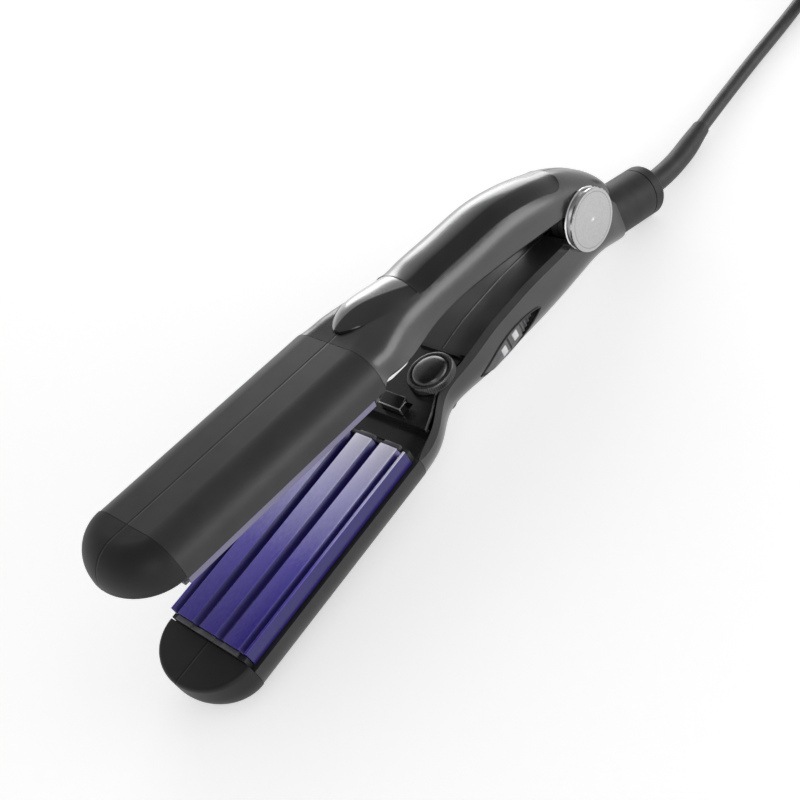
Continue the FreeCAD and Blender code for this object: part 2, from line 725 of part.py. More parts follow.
bore = s.pin_radius + s.pin_clearance
block = new_body("hinge_block", "lower")
block_top = -s.spring_radius - s.spring_wire - 0.2
prism(block, "XY", -s.block_floor, block_top, [
    rectangle(-s.block_rear, s.block_front, -s.knuckle_half, s.knuckle_half)])
for low, high in ((s.spring_half, s.knuckle_half), (-s.knuckle_half, -s.spring_half)):
    prism(block, "XZ", low, high, [], circles=[(0, 0, s.eye_radius)])
prism(block, "XZ", -s.knuckle_half, s.knuckle_half, [], cut=True, circles=[(0, 0, s.pin_radius)])
prism(block, "YZ", -20, 30, [], cut=True, circles=[(0, -16.4, 2.5)])

yoke = new_body("hinge_yoke", "upper")
cheek_in = s.knuckle_half + s.cheek_gap
cheek_out = cheek_in + s.cheek_thick
bridge_low = s.eye_radius + 0.8
prism(yoke, "XY", bridge_low, bridge_low + 1.6, [rectangle(3, 20, -cheek_out, cheek_out)])
prism(yoke, "XY", bridge_low + 1.6, bridge_low + 5, [rectangle(6, 20, -7.4, 7.4)])
for low, high in ((cheek_in, cheek_out), (-cheek_out, -cheek_in)):
    prism(yoke, "XZ", low, high, [], circles=[(0, 0, s.eye_radius)])
    prism(yoke, "XZ", low, high, [rectangle(3, 9, 5, bridge_low + 1.6)])
prism(yoke, "XY", 6.9, bridge_low, [rectangle(11.2, 14.4, 1.4, 4.0)])
prism(yoke, "XZ", -cheek_out, cheek_out, [], cut=True, circles=[(0, 0, bore)])
prism(upper_right, "XY", 0, 10, [rectangle(0, 14.8, 0, 4.4)], cut=True)

collar_in = s.ring_in + s.ring_thick
disc_in = collar_in + s.collar_thick
pin = new_body("hinge_pin", "lower")
prism(pin, "XZ", -disc_in, disc_in, [], circles=[(0, 0, s.pin_radius)])


def hinge_rings(label, radius, near, thick, hole, dome=0.0):
    """One turned ring on each side of the hinge."""
    members = []
    for side in (1, -1):
        body = doc.addObject("PartDesign::Body", label + "_one")
        near_v, far_v = side * near, side * (near + thick)
        lip = side * (near + thick - 0.4)
        outline = [(hole, near_v), (radius, near_v), (radius, lip), (radius - 0.4, far_v)]
        if dome:
            outline += [(radius - 1.0, far_v), (0, side * (near + thick + dome))]
        else:
            outline += [(hole, far_v)]
        turned(body, outline, plane="XY", axis="V_Axis")
        members.append(body)
    group(label, "lower", members)


hinge_rings("hinge_rings", s.disc_radius, s.ring_in, s.ring_thick, bore)
hinge_rings("hinge_collars", s.collar_radius, collar_in, s.collar_thick, bore)
hinge_rings("hinge_discs", s.disc_radius, disc_in, s.disc_thick, 0, dome=0.25)


def about_hinge(radius, angle):
    """Point of the plane across the hinge, by its angle up from +X."""
    return Vector(radius * math.cos(math.radians(angle)), 0, radius * math.sin(math.radians(angle)))


def solid_node(label, arm, shape):
    feature = doc.addObject("Part::Feature", label)
    feature.Label = label
    feature.Shape = shape
    nodes.append((feature, arm))
    return feature


def spring_shape():
    """Coil about the hinge axis, with a leg on the block and one under the yoke's lug."""
    radius, wire = s.spring_radius.value, s.spring_wire.value
    low, high = s.spring_low_angle.value, s.spring_high_angle.value
    height = s.spring_pitch.value * (low - high) / 360
    helix = Part.makeHelix(s.spring_pitch.value, height, radius)
    ring = Part.Wire(Part.Circle(Vector(radius, 0, 0), Vector(0, 1, 0), wire).toShape())
    coil = Part.Wire(helix.Edges).makePipeShell([ring], True, True)
    coil.rotate(Vector(0, 0, 0), Vector(1, 0, 0), -90)
    coil.rotate(Vector(0, 0, 0), Vector(0, 1, 0), -low)
    coil.translate(Vector(0, -height / 2, 0))
    legs = []
    for angle, y, turn in ((low, -height / 2, 90), (high, height / 2, -90)):
        foot = about_hinge(radius, angle) + Vector(0, y, 0)
        legs.append(Part.makeCylinder(wire, s.spring_leg.value, foot, about_hinge(1, angle + turn)))
    return Part.makeCompound([coil] + legs)


solid_node("return_spring", "lower", spring_shape())


# ---------------------------------------------------------------- switch

def root(size):
    size = as_size(size)
    return Size(math.sqrt(size.value), "sqrt(%s)" % size.text)


def lens_outline(rear, front, middle, half):
    """Outline of two equal arcs that meet in a point at each end, seen from the side."""
    reach = (front - rear) / 2
    drop = (reach * reach - half * half) / (half * 2)
    centre = (front + rear) / 2
    return [(front, middle, centre, middle - drop, -1), (rear, middle, centre, middle + drop, -1)]


switch_middle = 0.0 - s.switch_z
switch_half = s.switch_height / 2
prism(lower_right, "XZ", 8, 17, [
    lens_outline(s.switch_rear, s.switch_front, switch_middle, switch_half)], cut=True)

rocker = new_body("switch_rocker", "lower")
prism(rocker, "XZ", s.rocker_back, 16.2, [lens_outline(
    s.switch_rear + s.rocker_end_gap, s.switch_front - s.rocker_end_gap, switch_middle,
    switch_half - s.rocker_gap)])
face = [(41, 12.6)]
for rib in range(5):
    x, y = 44.5 + 2.2 * rib, 13.0 + 0.235 * rib
    face += [(x, y), (x + 0.4, y - 0.6), (x + 1.2, y - 0.5), (x + 1.6, y + 0.17)]
face += [(56.4, 14.2), (62.3, 14.4), (62.9, 13.4), (63.5, 14.6), (70, 15.4), (76, 14.8),
         (82.4, 12.8), (82.4, 17), (41, 17)]
prism(rocker, "XY", -16, -5, [face], cut=True)
round_reach = 15.0
top_y = 0.6 + math.sqrt(round_reach ** 2 - 3.2 ** 2)
low_y = 0.6 + math.sqrt(round_reach ** 2 - 9.8 ** 2)
prism(rocker, "YZ", 41, 83, [[
    (low_y, -17), (top_y, -4, 0.6, -7.2, 1), (18, -4), (18, -17)]], cut=True)
prism(rocker, "XY", -11.7, -8.7, [rectangle(60.9, 64.9, 8, 11.4)], cut=True)
prism(rocker, "XY", -13.2, -7.2, [], cut=True,
      circles=[(s.switch_middle, s.rocker_y, s.rocker_pin)])
pin_body = new_body("switch_pin", "lower")
prism(pin_body, "XY", -13.2, -7.2, [], circles=[(s.switch_middle, s.rocker_y, s.rocker_pin)])
pads = []
for x, low_y, high_y in ((65.2, 13.6, 15.2), (56.6, 13.0, 14.5)):
    pad_outline = rectangle(x, x + 3.4, low_y, high_y)
    prism(rocker, "XY", -12.2, -8.2, [rectangle(x, x + 3.4, low_y, 17)], cut=True)
    pad = doc.addObject("PartDesign::Body", "switch_pads_one")
    prism(pad, "XY", -12.2, -8.2, [pad_outline])
    pads.append(pad)
group("switch_pads", "lower", pads)

module = box("switch_module", "lower", (54, 71), (1, 7), (-13.75, -5.2))
prism(module, "XY", -11.4, -9.0, [rectangle(61.4, 64.4, 7, 10.8)])
prism(module, "XY", -11.4, -9.0, [], cut=True,
      circles=[(s.switch_middle, s.rocker_y, s.rocker_pin + s.pin_clearance)])


# ---------------------------------------------------------------- top lens and inlay

# across the lens: x, half width, height at the middle and at the side
LENS = ((92.4, 11.0, 33.6, 28.9), (100.0, 11.2, 35.0, 29.5), (108.0, 11.0, 36.2, 31.0),
        (116.0, 9.0, 36.3, 32.0), (121.0, 6.0, 35.0, 32.5), (125.0, 1.5, 33.0, 32.6))


def crowned(half, side, top, base):
    """Flat-bottomed section with an arc over the top."""
    rise = top - side
    drop = (half * half - rise * rise) / (rise * 2)
    return [(-half, base), (half, base), (half, side), (-half, side, 0, side - drop, 1)]


lens = new_body("indicator_lens", "upper")
lofted(lens, [(x, crowned(half, side, top, s.lens_base)) for x, half, top, side in LENS])
for body, side in ((upper_left, -1), (upper_right, 1)):
    sections = []
    for x, half, top, edge in LENS:
        wide = side * (half + s.lens_gap)
        x_gap = {92.4: -0.2, 125.0: 0.3}.get(x, 0.0)
        sections.append((x + x_gap, [(0, 20), (wide, 20), (wide, 40), (0, 40)]))
    lofted(body, sections, cut=True)
led = new_body("indicator_led", "upper")
prism(led, "XY", 24.4, s.lens_base - 0.1, [], circles=[(112, 0, 1.5)])


def between(first, second, share):
    """Station values part of the way from one station to another."""
    return [a + (b - a) * share for a, b in zip(first, second)]


def inlay_section(values, half, low, high):
    """Band of the handle's back between two heights above its own surface."""
    x, width, back, _, corner = values
    offset = width - corner
    edge = back - corner + root(corner * corner - (half - offset) * (half - offset))
    rise = back - edge
    drop = (half * half - rise * rise) / (rise * 2)
    return x, [(half, edge + low, 0, edge + low - drop, -1), (half, edge + high),
               (-half, edge + high, 0, edge + high - drop, 1), (-half, edge + low)]


def inlay_sections(spare, low, high):
    upper = {number: station("upper", number) for number in range(5, 13)}
    front = [s.inlay_front] + upper[5][1:]
    rows = [(front, s.inlay_half)] + [(upper[number], s.inlay_half) for number in range(6, 12)]
    for share, half in ((0.5, 11.6), (0.8, 9.8), (1.0, 6.0)):
        rows.append((between(upper[11], upper[12], share), half))
    return [inlay_section(values, half + spare, low, high) for values, half in rows]


inlay = new_body("top_inlay", "upper")
lofted(inlay, inlay_sections(as_size(0), s.inlay_proud - s.inlay_thick, s.inlay_proud))
groove_low = s.inlay_proud - s.inlay_thick - 0.1
for body, side in ((upper_left, -1), (upper_right, 1)):
    lofted(body, inlay_sections(as_size(0.1), groove_low, as_size(3)), cut=True)


# ---------------------------------------------------------------- tail, swivel and strain relief

def along_tail(label, outline):
    body = new_body(label, "lower")
    turned(body, outline, shift=tail_shift, turn=tail_turn)
    return body


bulkhead_in = s.tail_length - s.bulkhead
along_tail("cord_sleeve", [
    (s.tail_start, s.tail_bore), (s.tail_start, s.tail_radius), (s.tail_length, s.tail_radius),
    (s.tail_length, s.stem_radius + 0.05), (bulkhead_in, s.stem_radius + 0.05),
    (bulkhead_in, s.tail_bore)])
flange_out = bulkhead_in - 0.2
flange_in = flange_out - s.flange_thick
collar_in = s.tail_length + s.collar_gap
collar_out = collar_in + s.collar_length
bend = s.collar_round
along_tail("swivel_collar", [
    (flange_in, s.spigot_radius + 0.05), (flange_in, s.flange_radius),
    (flange_out, s.flange_radius), (flange_out, s.stem_radius), (collar_in, s.stem_radius),
    (collar_in, s.tail_radius), (collar_out - bend, s.tail_radius),
    (collar_out, s.tail_radius - bend, collar_out - bend, s.tail_radius - bend, -1),
    (collar_out, s.spigot_radius + 0.05)])
along_tail("cord_clamp", [
    (flange_in - 8.2, 0), (flange_in - 8.2, s.tail_bore - 0.1), (flange_in - 0.6, s.tail_bore - 0.1),
    (flange_in - 0.6, 0)])


def tail_point(reach):
    turn = math.radians(SIZES["tail_droop"])
    return Vector(-s.tail_x.value - reach * math.cos(turn), 0,
                  -s.tail_z.value - reach * math.sin(turn))


# ---------------------------------------------------------------- how the arms rest on the table

nose_back = s.head_corner.value - 0.6
nose_low = FreeCAD.Vector(
    (head_front + s.seam + s.nose_length).value - nose_back, 0,
    (s.middle - s.head_thick).value + nose_back)
droop = math.radians(s.tail_droop.value)
reach = (collar_out - bend).value
side_out = (s.tail_radius - bend).value
tail_low = tail_point(reach) + Vector(math.sin(droop), 0, -math.cos(droop)) * side_out
line = nose_low - tail_low
tip = math.atan2(line.z, line.x) - math.asin((nose_back - bend.value) / line.Length)
tilt = Rotation(Vector(0, 1, 0), math.degrees(tip))
lift = bend.value - tilt.multVec(tail_low).z
rest = Placement(Vector(0, 0, lift), tilt)
opened = Placement(Vector(0, 0, 0), Rotation(Vector(0, 1, 0), -s.open_angle.value))


# ---------------------------------------------------------------- lead, hank and plug, on the table

def turned_heading(degrees, rise=0.0):
    angle = math.radians(degrees)
    return Vector(math.cos(angle), math.sin(angle), rise)


def arc_points(start, first, last, length, count):
    """Points of an arc that leaves along one direction and ends along another."""
    angle = first.getAngle(last)
    radius = length / angle
    normal = first.cross(last).normalize()
    inward = normal.cross(first)
    points = []
    for step in range(count + 1):
        part = angle * step / count
        points.append((start + first * (radius * math.sin(part))
                       + inward * (radius * (1 - math.cos(part))),
                       first * math.cos(part) + inward * math.sin(part)))
    return points


def tube(route, radius):
    """Round bar along straight runs joined by tangent arcs; gives the shape and its length."""
    edges, length, start = [], 0.0, route[0]
    for before, corner, after in zip(route, route[1:], route[2:]):
        back, ahead = before - corner, after - corner
        half_turn = (math.pi - back.getAngle(ahead)) / 2
        run = 0.45 * min(back.Length, ahead.Length)
        bend_radius = run / math.tan(half_turn)
        enter = corner + back.normalize() * run
        leave = corner + ahead.normalize() * run
        middle = (enter + leave) / 2
        inward = (middle - corner).normalize()
        centre = corner + inward * math.hypot(run, bend_radius)
        edges.append(Part.LineSegment(start, enter).toShape())
        edges.append(Part.Arc(enter, centre - inward * bend_radius, leave).toShape())
        length += (enter - start).Length + bend_radius * 2 * half_turn
        start = leave
        print("arc radius %.1f" % bend_radius)
    edges.append(Part.LineSegment(start, route[-1]).toShape())
    length += (route[-1] - start).Length
    first = (route[1] - route[0]).normalize()
    ring = Part.Wire(Part.Circle(route[0], first, radius).toShape())
    return Part.Wire(edges).makePipeShell([ring], True, True), length


boot_start = (collar_out + 0.2).value
boot_root = rest.multVec(tail_point(boot_start))
tail_dir = tilt.multVec(tail_point(1) - tail_point(0))
boot_dir = turned_heading(180 + s.boot_yaw.value)
rings = []
bend_points = arc_points(boot_root, tail_dir, boot_dir, s.boot_bend.value, 4)
straight_end = bend_points[-1][0] + boot_dir * s.boot_straight.value
bend_points.append((bend_points[-1][0] + boot_dir * (s.boot_straight.value / 2), boot_dir))
bend_points.append((straight_end, boot_dir))
thick, mid, thin = s.boot_radius.value, s.boot_mid_radius.value, s.boot_end_radius.value
for number, (point, heading) in enumerate(bend_points):
    share = number / 4
    radius = thick + (mid - thick) * share if number <= 4 else mid + (thin - mid) * (number - 4) / 2
    rings.append(Part.Wire(Part.Circle(point, heading, radius).toShape()))
boot = Part.makeLoft(rings, True)
spigot_in = (flange_in - 0.6).value
spigot = Part.makeCylinder(s.spigot_radius.value, boot_start - spigot_in,
                           rest.multVec(tail_point(spigot_in)), tail_dir)
solid_node("strain_relief", "table", boot.fuse(spigot).removeSplitter())

lead_start = straight_end
rest_z = s.lead_rest.value


def step_from(point, degrees, length, height):
    ahead = point + turned_heading(degrees) * length
    return Vector(ahead.x, ahead.y, height)


lead_route = [lead_start]
for degrees, length in ((188, 46), (183, 56), (188, 30)):
    lead_route.append(step_from(lead_route[-1], degrees, length, rest_z))
hank_low = s.tie_thick + 0.1
hank_top = hank_low + s.hank_height
lead_route.append(step_from(lead_route[-1], 180, 16, (hank_low + s.lead_radius).value))

# the hank's solid: two round loops drawn in to a tied waist
outer_fold = s.hank_fold + s.lead_radius * 2
hank_edge = outer_fold + s.lead_radius + 0.8
loop_reach = s.hank_run / 2
hank_x = lead_route[-1].x - 6 - loop_reach.value
hank_y = lead_route[-1].y + outer_fold.value
hank = new_body("cord_hank", "table")
waist, tie_half = s.hank_waist, s.tie_half
near_loop, far_loop = hank_x + loop_reach, hank_x - loop_reach
prism(hank, "XY", hank_low, hank_top, [[
    (near_loop, hank_y + hank_edge, near_loop, hank_y, 1), (hank_x + tie_half, hank_y + waist),
    (hank_x - tie_half, hank_y + waist), (far_loop, hank_y + hank_edge),
    (far_loop, hank_y - hank_edge, far_loop, hank_y, 1), (hank_x - tie_half, hank_y - waist),
    (hank_x + tie_half, hank_y - waist), (near_loop, hank_y - hank_edge)]])
tie = new_body("lead_tie", "table")
across, thick = waist + 0.1, s.tie_thick
prism(tie, "YZ", hank_x - tie_half + 0.4, hank_x + tie_half - 0.4, [
    rectangle(hank_y - across - thick, hank_y + across + thick, 0, hank_top + 0.1 + thick)])
prism(tie, "YZ", hank_x - tie_half - 1, hank_x + tie_half + 1, [
    rectangle(hank_y - across, hank_y + across, thick, hank_top + 0.1)], cut=True)
doc.recompute()

plug_rest = (hank_top + 0.1).value
plug_middle = plug_rest + s.plug_thick.value / 2
end_route = [Vector(hank_x + x, hank_y + y, z) for x, y, z in (
    (30, -12, 10), (12, -4, 17.8), (-9.5, 0, plug_middle), (-19, 0, plug_middle))]
for label, route in (("cord_lead", lead_route), ("cord_end", end_route)):
    shape, length = tube(route, s.lead_radius.value)
    section = math.pi * s.lead_radius.value ** 2
    print("%s: length %.1f, volume %.0f, section x length %.0f"
          % (label, length, shape.Volume, section * length))
    solid_node(label, "table", shape.cut(hank.Shape).cut(boot))
plug_at = end_route[-1]
plug_place = Placement(Vector(plug_at.x - s.plug_neck.value, plug_at.y, plug_rest),
                       Rotation(Vector(0, 0, 1), 180))

plug = new_body("plug_body", "plug")
half = s.plug_half
neck = -s.plug_neck
outline = [(neck, -4.6), (0, -9), (14, -half), (s.plug_length, -half)]
prism(plug, "XY", 0, s.plug_thick, [outline + [(x, -y) for x, y in reversed(outline)]])
pins = []
for side in (-1, 1):
    prong = doc.addObject("PartDesign::Body", "plug_pins_one")
    prism(prong, "YZ", s.plug_length, s.plug_length + s.plug_pin_length, [],
          circles=[(side * s.pin_spacing / 2, s.plug_thick / 2, s.plug_pin_radius)])
    pins.append(prong)
group("plug_pins", "plug", pins)


# ---------------------------------------------------------------- electrics

box("control_board", "lower", (s.board_rear, s.board_front), (-s.board_half, s.board_half),
    (-s.board_z, s.board_thick - s.board_z))
for body, side in ((lower_left, -1), (lower_right, 1)):
    for x, floor in ((30, -24.4), (60, -20.9)):
        prism(body, "XY", floor, -s.board_z - 0.1, [], circles=[(x, side * 5.0, 2)])
solid_node("mains_core", "lower", tube([
    tail_point((flange_in - 8.8).value), Vector(-13, 0, -16.4), Vector(24.9, 0, -16.4)], 1.6)[0])


def wire_pair(label, arm, rear, front, z):
    wires = []
    for side in (-1, 1):
        wire = doc.addObject("PartDesign::Body", label + "_one")
        prism(wire, "YZ", rear, front, [], circles=[(3.0 * side, z, 0.55)])
        wires.append(wire)
    group(label, arm, wires)


wire_pair("lower_heater_leads", "lower", 58, 130.2, -4.0)
wire_pair("upper_heater_leads", "upper", 36, 140, 26.2)
box("thermostat", "upper", (134, 146), (-5, 5), (20.3, 25.6))


# ---------------------------------------------------------------- places, checks and files

def extent(label, placement):
    shape = doc.getObjectsByLabel(label)[0].Shape.copy()
    shape.Placement = placement.multiply(shape.Placement)
    return shape.optimalBoundingBox(False, False)


tips = extent("upper_nose_cap", rest.multiply(opened)), extent("lower_nose_cap", rest)
front = max(item.XMax for item in tips)
rear = extent("strain_relief", Placement()).XMin
shift = Placement(Vector(-(front + rear) / 2, 0, 0), Rotation())
frames = {
    "lower": shift.multiply(rest),
    "upper": shift.multiply(rest).multiply(opened),
    "table": shift,
    "plug": shift.multiply(plug_place),
}
for item, frame in nodes:
    item.Placement = frames[frame].multiply(item.Placement)
doc.recompute()

wrong = [item.Name for item in doc.Objects if {"Invalid", "Error"} & set(item.State)]
wrong += [item.Label for item, _ in nodes if item.Shape.isNull() or not item.Shape.isValid()]
if wrong:
    raise ValueError("not built: " + ", ".join(wrong))
os.makedirs("parts", exist_ok=True)
for item, _ in nodes:
    item.Shape.exportStep("parts/%s.step" % item.Label)


def told(name, frame, point):
    spot = frames[frame].multVec(Vector(*point))
    print("%s %.3f %.3f %.3f" % (name, spot.x, spot.y, spot.z))


def told_way(name, frame, way):
    turn = frames[frame].Rotation.multVec(Vector(*way))
    print("%s %.5f %.5f %.5f" % (name, turn.x, turn.y, turn.z))


print("tip %.4f lift %.3f shift %.3f" % (math.degrees(tip), lift, shift.Base.x))
told("pivot", "lower", (0, 0, 0))
told("knob", "lower", (SIZES["knob_x"], SIZES["knob_y"], SIZES["deck_top"]))
told_way("lower up", "lower", (0, 0, 1))
told_way("lower along", "lower", (1, 0, 0))
told("catch", "lower", (SIZES["catch_front"], 0, 0))
told("rocker", "lower", (SIZES["switch_middle"], SIZES["rocker_y"], -SIZES["switch_z"]))
told("swivel", "lower", tail_point(collar_in.value))
told_way("swivel way", "lower", tail_point(1) - tail_point(0))
for number, spot in enumerate(lead_route + end_route):
    told("route %d" % number, "table", spot)
told("hank", "table", (hank_x, hank_y, 0))
told("plug", "plug", (SIZES["plug_length"], 0, SIZES["plug_thick"] / 2))
print("nodes", len(nodes))
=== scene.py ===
"""Hair crimper: the looks of the part, piece by piece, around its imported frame."""
from math import atan2, cos, hypot, pi, radians, sin

import bmesh
import bpy
from mathutils import Matrix, Vector
from mathutils.bvhtree import BVHTree


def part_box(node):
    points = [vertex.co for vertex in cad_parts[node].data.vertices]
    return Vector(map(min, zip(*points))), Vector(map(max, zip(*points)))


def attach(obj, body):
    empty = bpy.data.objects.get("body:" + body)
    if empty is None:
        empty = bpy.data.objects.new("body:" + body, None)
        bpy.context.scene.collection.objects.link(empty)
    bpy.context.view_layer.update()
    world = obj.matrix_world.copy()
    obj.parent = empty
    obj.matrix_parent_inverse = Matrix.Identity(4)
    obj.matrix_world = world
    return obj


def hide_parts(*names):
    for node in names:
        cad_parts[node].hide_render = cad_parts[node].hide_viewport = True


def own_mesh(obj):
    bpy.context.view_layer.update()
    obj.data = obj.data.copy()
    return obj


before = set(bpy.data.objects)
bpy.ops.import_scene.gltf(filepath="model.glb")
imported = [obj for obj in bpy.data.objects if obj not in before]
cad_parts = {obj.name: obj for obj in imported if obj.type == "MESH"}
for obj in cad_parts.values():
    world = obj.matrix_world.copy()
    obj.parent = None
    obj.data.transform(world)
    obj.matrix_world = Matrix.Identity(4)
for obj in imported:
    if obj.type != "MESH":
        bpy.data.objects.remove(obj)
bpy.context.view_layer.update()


# ---------------------------------------------------------------- camera
# The view looks down along the arms from the front right, with the tips at the lower left and
# the lead at the upper right. The camera is rolled, so the arms lie across the picture.
camera_data = bpy.data.cameras.new("camera")
camera_data.lens = 59.5
camera_data.sensor_width = 36.0
camera = bpy.data.objects.new("camera", camera_data)
camera.location = (0.24872, 0.3461, 0.360096)
camera.rotation_euler = (radians(47.852), radians(19.986), radians(131.839))
bpy.context.scene.collection.objects.link(camera)
bpy.context.scene.camera = camera
bpy.context.scene.view_settings.view_transform = "Standard"


# ---------------------------------------------------------------- lead
# A round two-core mains lead, 6.8 mm thick and 1.8 m long, extruded in soft black plastic. It
# leaves the strain relief level with the table, lies along it to a hank of four turns that a
# strap draws in at the middle, and ends in a plug on top of the hank.
lead_thickness = 0.0068
lead_exit = (-0.177247, -0.004752, 0.005707)
lead_route = [lead_exit, (-0.222799, -0.011154, 0.0036), (-0.278722, -0.014085, 0.0036),
              (-0.30843, -0.01826, 0.0036), (-0.32443, -0.01826, 0.004)]
hank_centre = (-0.38593, 0.00954)
hank_half = 0.0555     # from the strap to the start of the fold at each end
hank_waist = 0.0176    # how far the strap draws a run in
inner_fold, outer_fold = 0.021, 0.0278
layers = (0.004, 0.0108, 0.0176)
hank_turns = [   # fold before and after, layer before and after, when they change in the turn
    (outer_fold, inner_fold, 0, 0, 3.55, 3.9), (inner_fold, inner_fold, 0, 1, 3.25, 3.6),
    (inner_fold, outer_fold, 1, 1, 2.9, 3.25), (outer_fold, outer_fold, 1, 2, 2.5, 2.9)]
steps_per_stage = 8
pull_in = 1.0196       # the smooth line runs inside its control points

for step in range(1, len(hank_turns) * 4 * steps_per_stage + 1):
    number, turn_step = divmod(step - 1, 4 * steps_per_stage)
    fold, new_fold, layer, new_layer, start, end = hank_turns[number]
    when = (turn_step + 1) / steps_per_stage
    share = min(max((when - start) / (end - start), 0.0), 1.0)
    changed = share * share * (3 - 2 * share)
    fold += (new_fold - fold) * changed
    height = layers[layer] + (layers[new_layer] - layers[layer]) * changed
    stage = min(int(when), 3)
    along = when - stage
    side = -1 if stage < 2 else 1
    if stage % 2 == 0:    # a run past the strap
        x = side * hank_half * (2 * along - 1)
        y = side * (fold - hank_waist * (1 + cos(pi * x / hank_half)) / 2)
    else:                 # a fold at the end
        angle = radians(side * 90 - 180 * along)
        x = side * hank_half + fold * pull_in * cos(angle)
        y = fold * pull_in * sin(angle)
    lead_route.append((hank_centre[0] + x, hank_centre[1] + y, height))
way_to_plug = ((0.03, -0.012, layers[2]), (0.012, -0.004, 0.0178),
               (-0.0095, 0.0, 0.021), (-0.019, 0.0, 0.021))
for x, y, height in way_to_plug:
    lead_route.append((hank_centre[0] + x, hank_centre[1] + y, height))


class Value:
    """A number that varies over a surface. Sums on it add Math nodes to its tree."""

    def __init__(self, tree, socket):
        self.tree = tree
        self.socket = socket

    def maths(self, operation, first, second=0.0):
        return add_node(self.tree, "ShaderNodeMath", {"operation": operation},
                        {0: first, 1: second})

    def __add__(self, other):
        return self.maths("ADD", self, other)

    def __radd__(self, other):
        return self.maths("ADD", other, self)

    def __sub__(self, other):
        return self.maths("SUBTRACT", self, other)

    def __rsub__(self, other):
        return self.maths("SUBTRACT", other, self)

    def __mul__(self, other):
        return self.maths("MULTIPLY", self, other)

    def __rmul__(self, other):
        return self.maths("MULTIPLY", other, self)

    def __truediv__(self, other):
        return self.maths("DIVIDE", self, other)

    def __pow__(self, other):
        return self.maths("POWER", self, other)

    def size(self):
        return self.maths("ABSOLUTE", self)

    def wave(self):
        return self.maths("SINE", self)

    def held(self):
        """The value kept between 0 and 1."""
        return self.maths("MAXIMUM", self.maths("MINIMUM", self, 1.0), 0.0)


def feed(tree, socket, value):
    if isinstance(value, Value):
        tree.links.new(value.socket, socket)
    else:
        socket.default_value = value


def add_node(tree, kind, settings, inputs, output=0):
    """A node of that kind with its settings and sockets, and the output that is wanted."""
    node = tree.nodes.new(kind)
    for name, value in settings.items():
        if name == "stops":
            ramp = node.color_ramp
            while len(ramp.elements) < len(value):
                ramp.elements.new(0.5)
            for element, (position, colour) in zip(ramp.elements, value):
                element.position = position
                element.color = (*colour, 1.0)
        else:
            setattr(node, name, value)
    for name, value in inputs.items():
        feed(tree, node.inputs[name], value)
    return Value(tree, node.outputs[output])


class Finish:
    """One material of the object, with patterns fixed to the place on the piece."""

    def __init__(self, name, constants):
        self.material = bpy.data.materials.new(name)
        self.material.use_nodes = True
        self.tree = self.material.node_tree
        self.surface = self.tree.nodes["Principled BSDF"]
        self.set(constants)

    def set(self, values):
        for name, value in values.items():
            feed(self.tree, self.surface.inputs[name], value)

    def place(self, scale=(1.0, 1.0, 1.0)):
        """The place on the piece. A scale under 1 draws a pattern out along that axis."""
        spot = add_node(self.tree, "ShaderNodeTexCoord", {}, {}, "Object")
        return add_node(self.tree, "ShaderNodeMapping", {}, {"Vector": spot, "Scale": scale})

    def along(self, direction, centre=(0.0, 0.0, 0.0)):
        """How far the place lies from a centre along a direction, in metres."""
        spot = add_node(self.tree, "ShaderNodeTexCoord", {}, {}, "Object")
        spot = add_node(self.tree, "ShaderNodeVectorMath", {"operation": "SUBTRACT"},
                        {0: spot, 1: centre})
        return add_node(self.tree, "ShaderNodeVectorMath", {"operation": "DOT_PRODUCT"},
                        {0: spot, 1: direction}, "Value")

    def noise(self, size, detail=2.0, where=None):
        """Cloudy noise from 0 to 1 in lumps of about that size in metres."""
        return add_node(self.tree, "ShaderNodeTexNoise", {}, {
            "Vector": where or self.place(), "Scale": 1.0 / size, "Detail": detail})

    def colours(self, factor, *stops):
        return add_node(self.tree, "ShaderNodeValToRGB", {"stops": stops}, {"Fac": factor})

    def blended(self, factor, first, second):
        """The first colour where the factor is 0 and the second where it is 1."""
        return add_node(self.tree, "ShaderNodeMix", {"data_type": "RGBA"},
                        {0: factor, 6: first, 7: second}, 2)

    def relief(self, height, depth):
        """Raises the surface by up to that depth in metres where the height is 1."""
        self.set({"Normal": add_node(self.tree, "ShaderNodeBump", {}, {
            "Height": height, "Distance": depth})})


def soft_plastic(name, dark, light, roughness, grain, grain_depth):
    """A moulded or extruded plastic: mottled colour, uneven sheen and a fine skin."""
    made = Finish(name, {"Specular IOR Level": 0.5})
    mottle = made.noise(0.006, 4.0)
    made.set({"Base Color": made.colours(mottle, (0.3, dark), (0.7, light)),
              "Roughness": made.noise(0.011, 3.0) * 0.1 + (roughness - 0.05)})
    made.relief(made.noise(grain, 2.0), grain_depth)
    return made


lead_black = soft_plastic("lead_black", (0.022, 0.022, 0.023), (0.038, 0.038, 0.039),
                          roughness=0.42, grain=0.0005, grain_depth=0.00003)
lead_curve = bpy.data.curves.new("lead", "CURVE")
lead_curve.dimensions = "3D"
lead_curve.bevel_depth = lead_thickness / 2
lead_curve.bevel_resolution = 5
lead_curve.use_fill_caps = True
lead_line = lead_curve.splines.new("NURBS")
lead_line.points.add(len(lead_route) - 1)
for point, spot in zip(lead_line.points, lead_route):
    point.co = (*spot, 1.0)
lead_line.order_u = 3
lead_line.use_endpoint_u = True
lead_line.resolution_u = 8
lead = bpy.data.objects.new("lead", lead_curve)
bpy.context.scene.collection.objects.link(lead)
lead_curve.materials.append(lead_black.material)
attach(lead, "lower_arm")
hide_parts("cord_lead", "cord_hank", "cord_end")


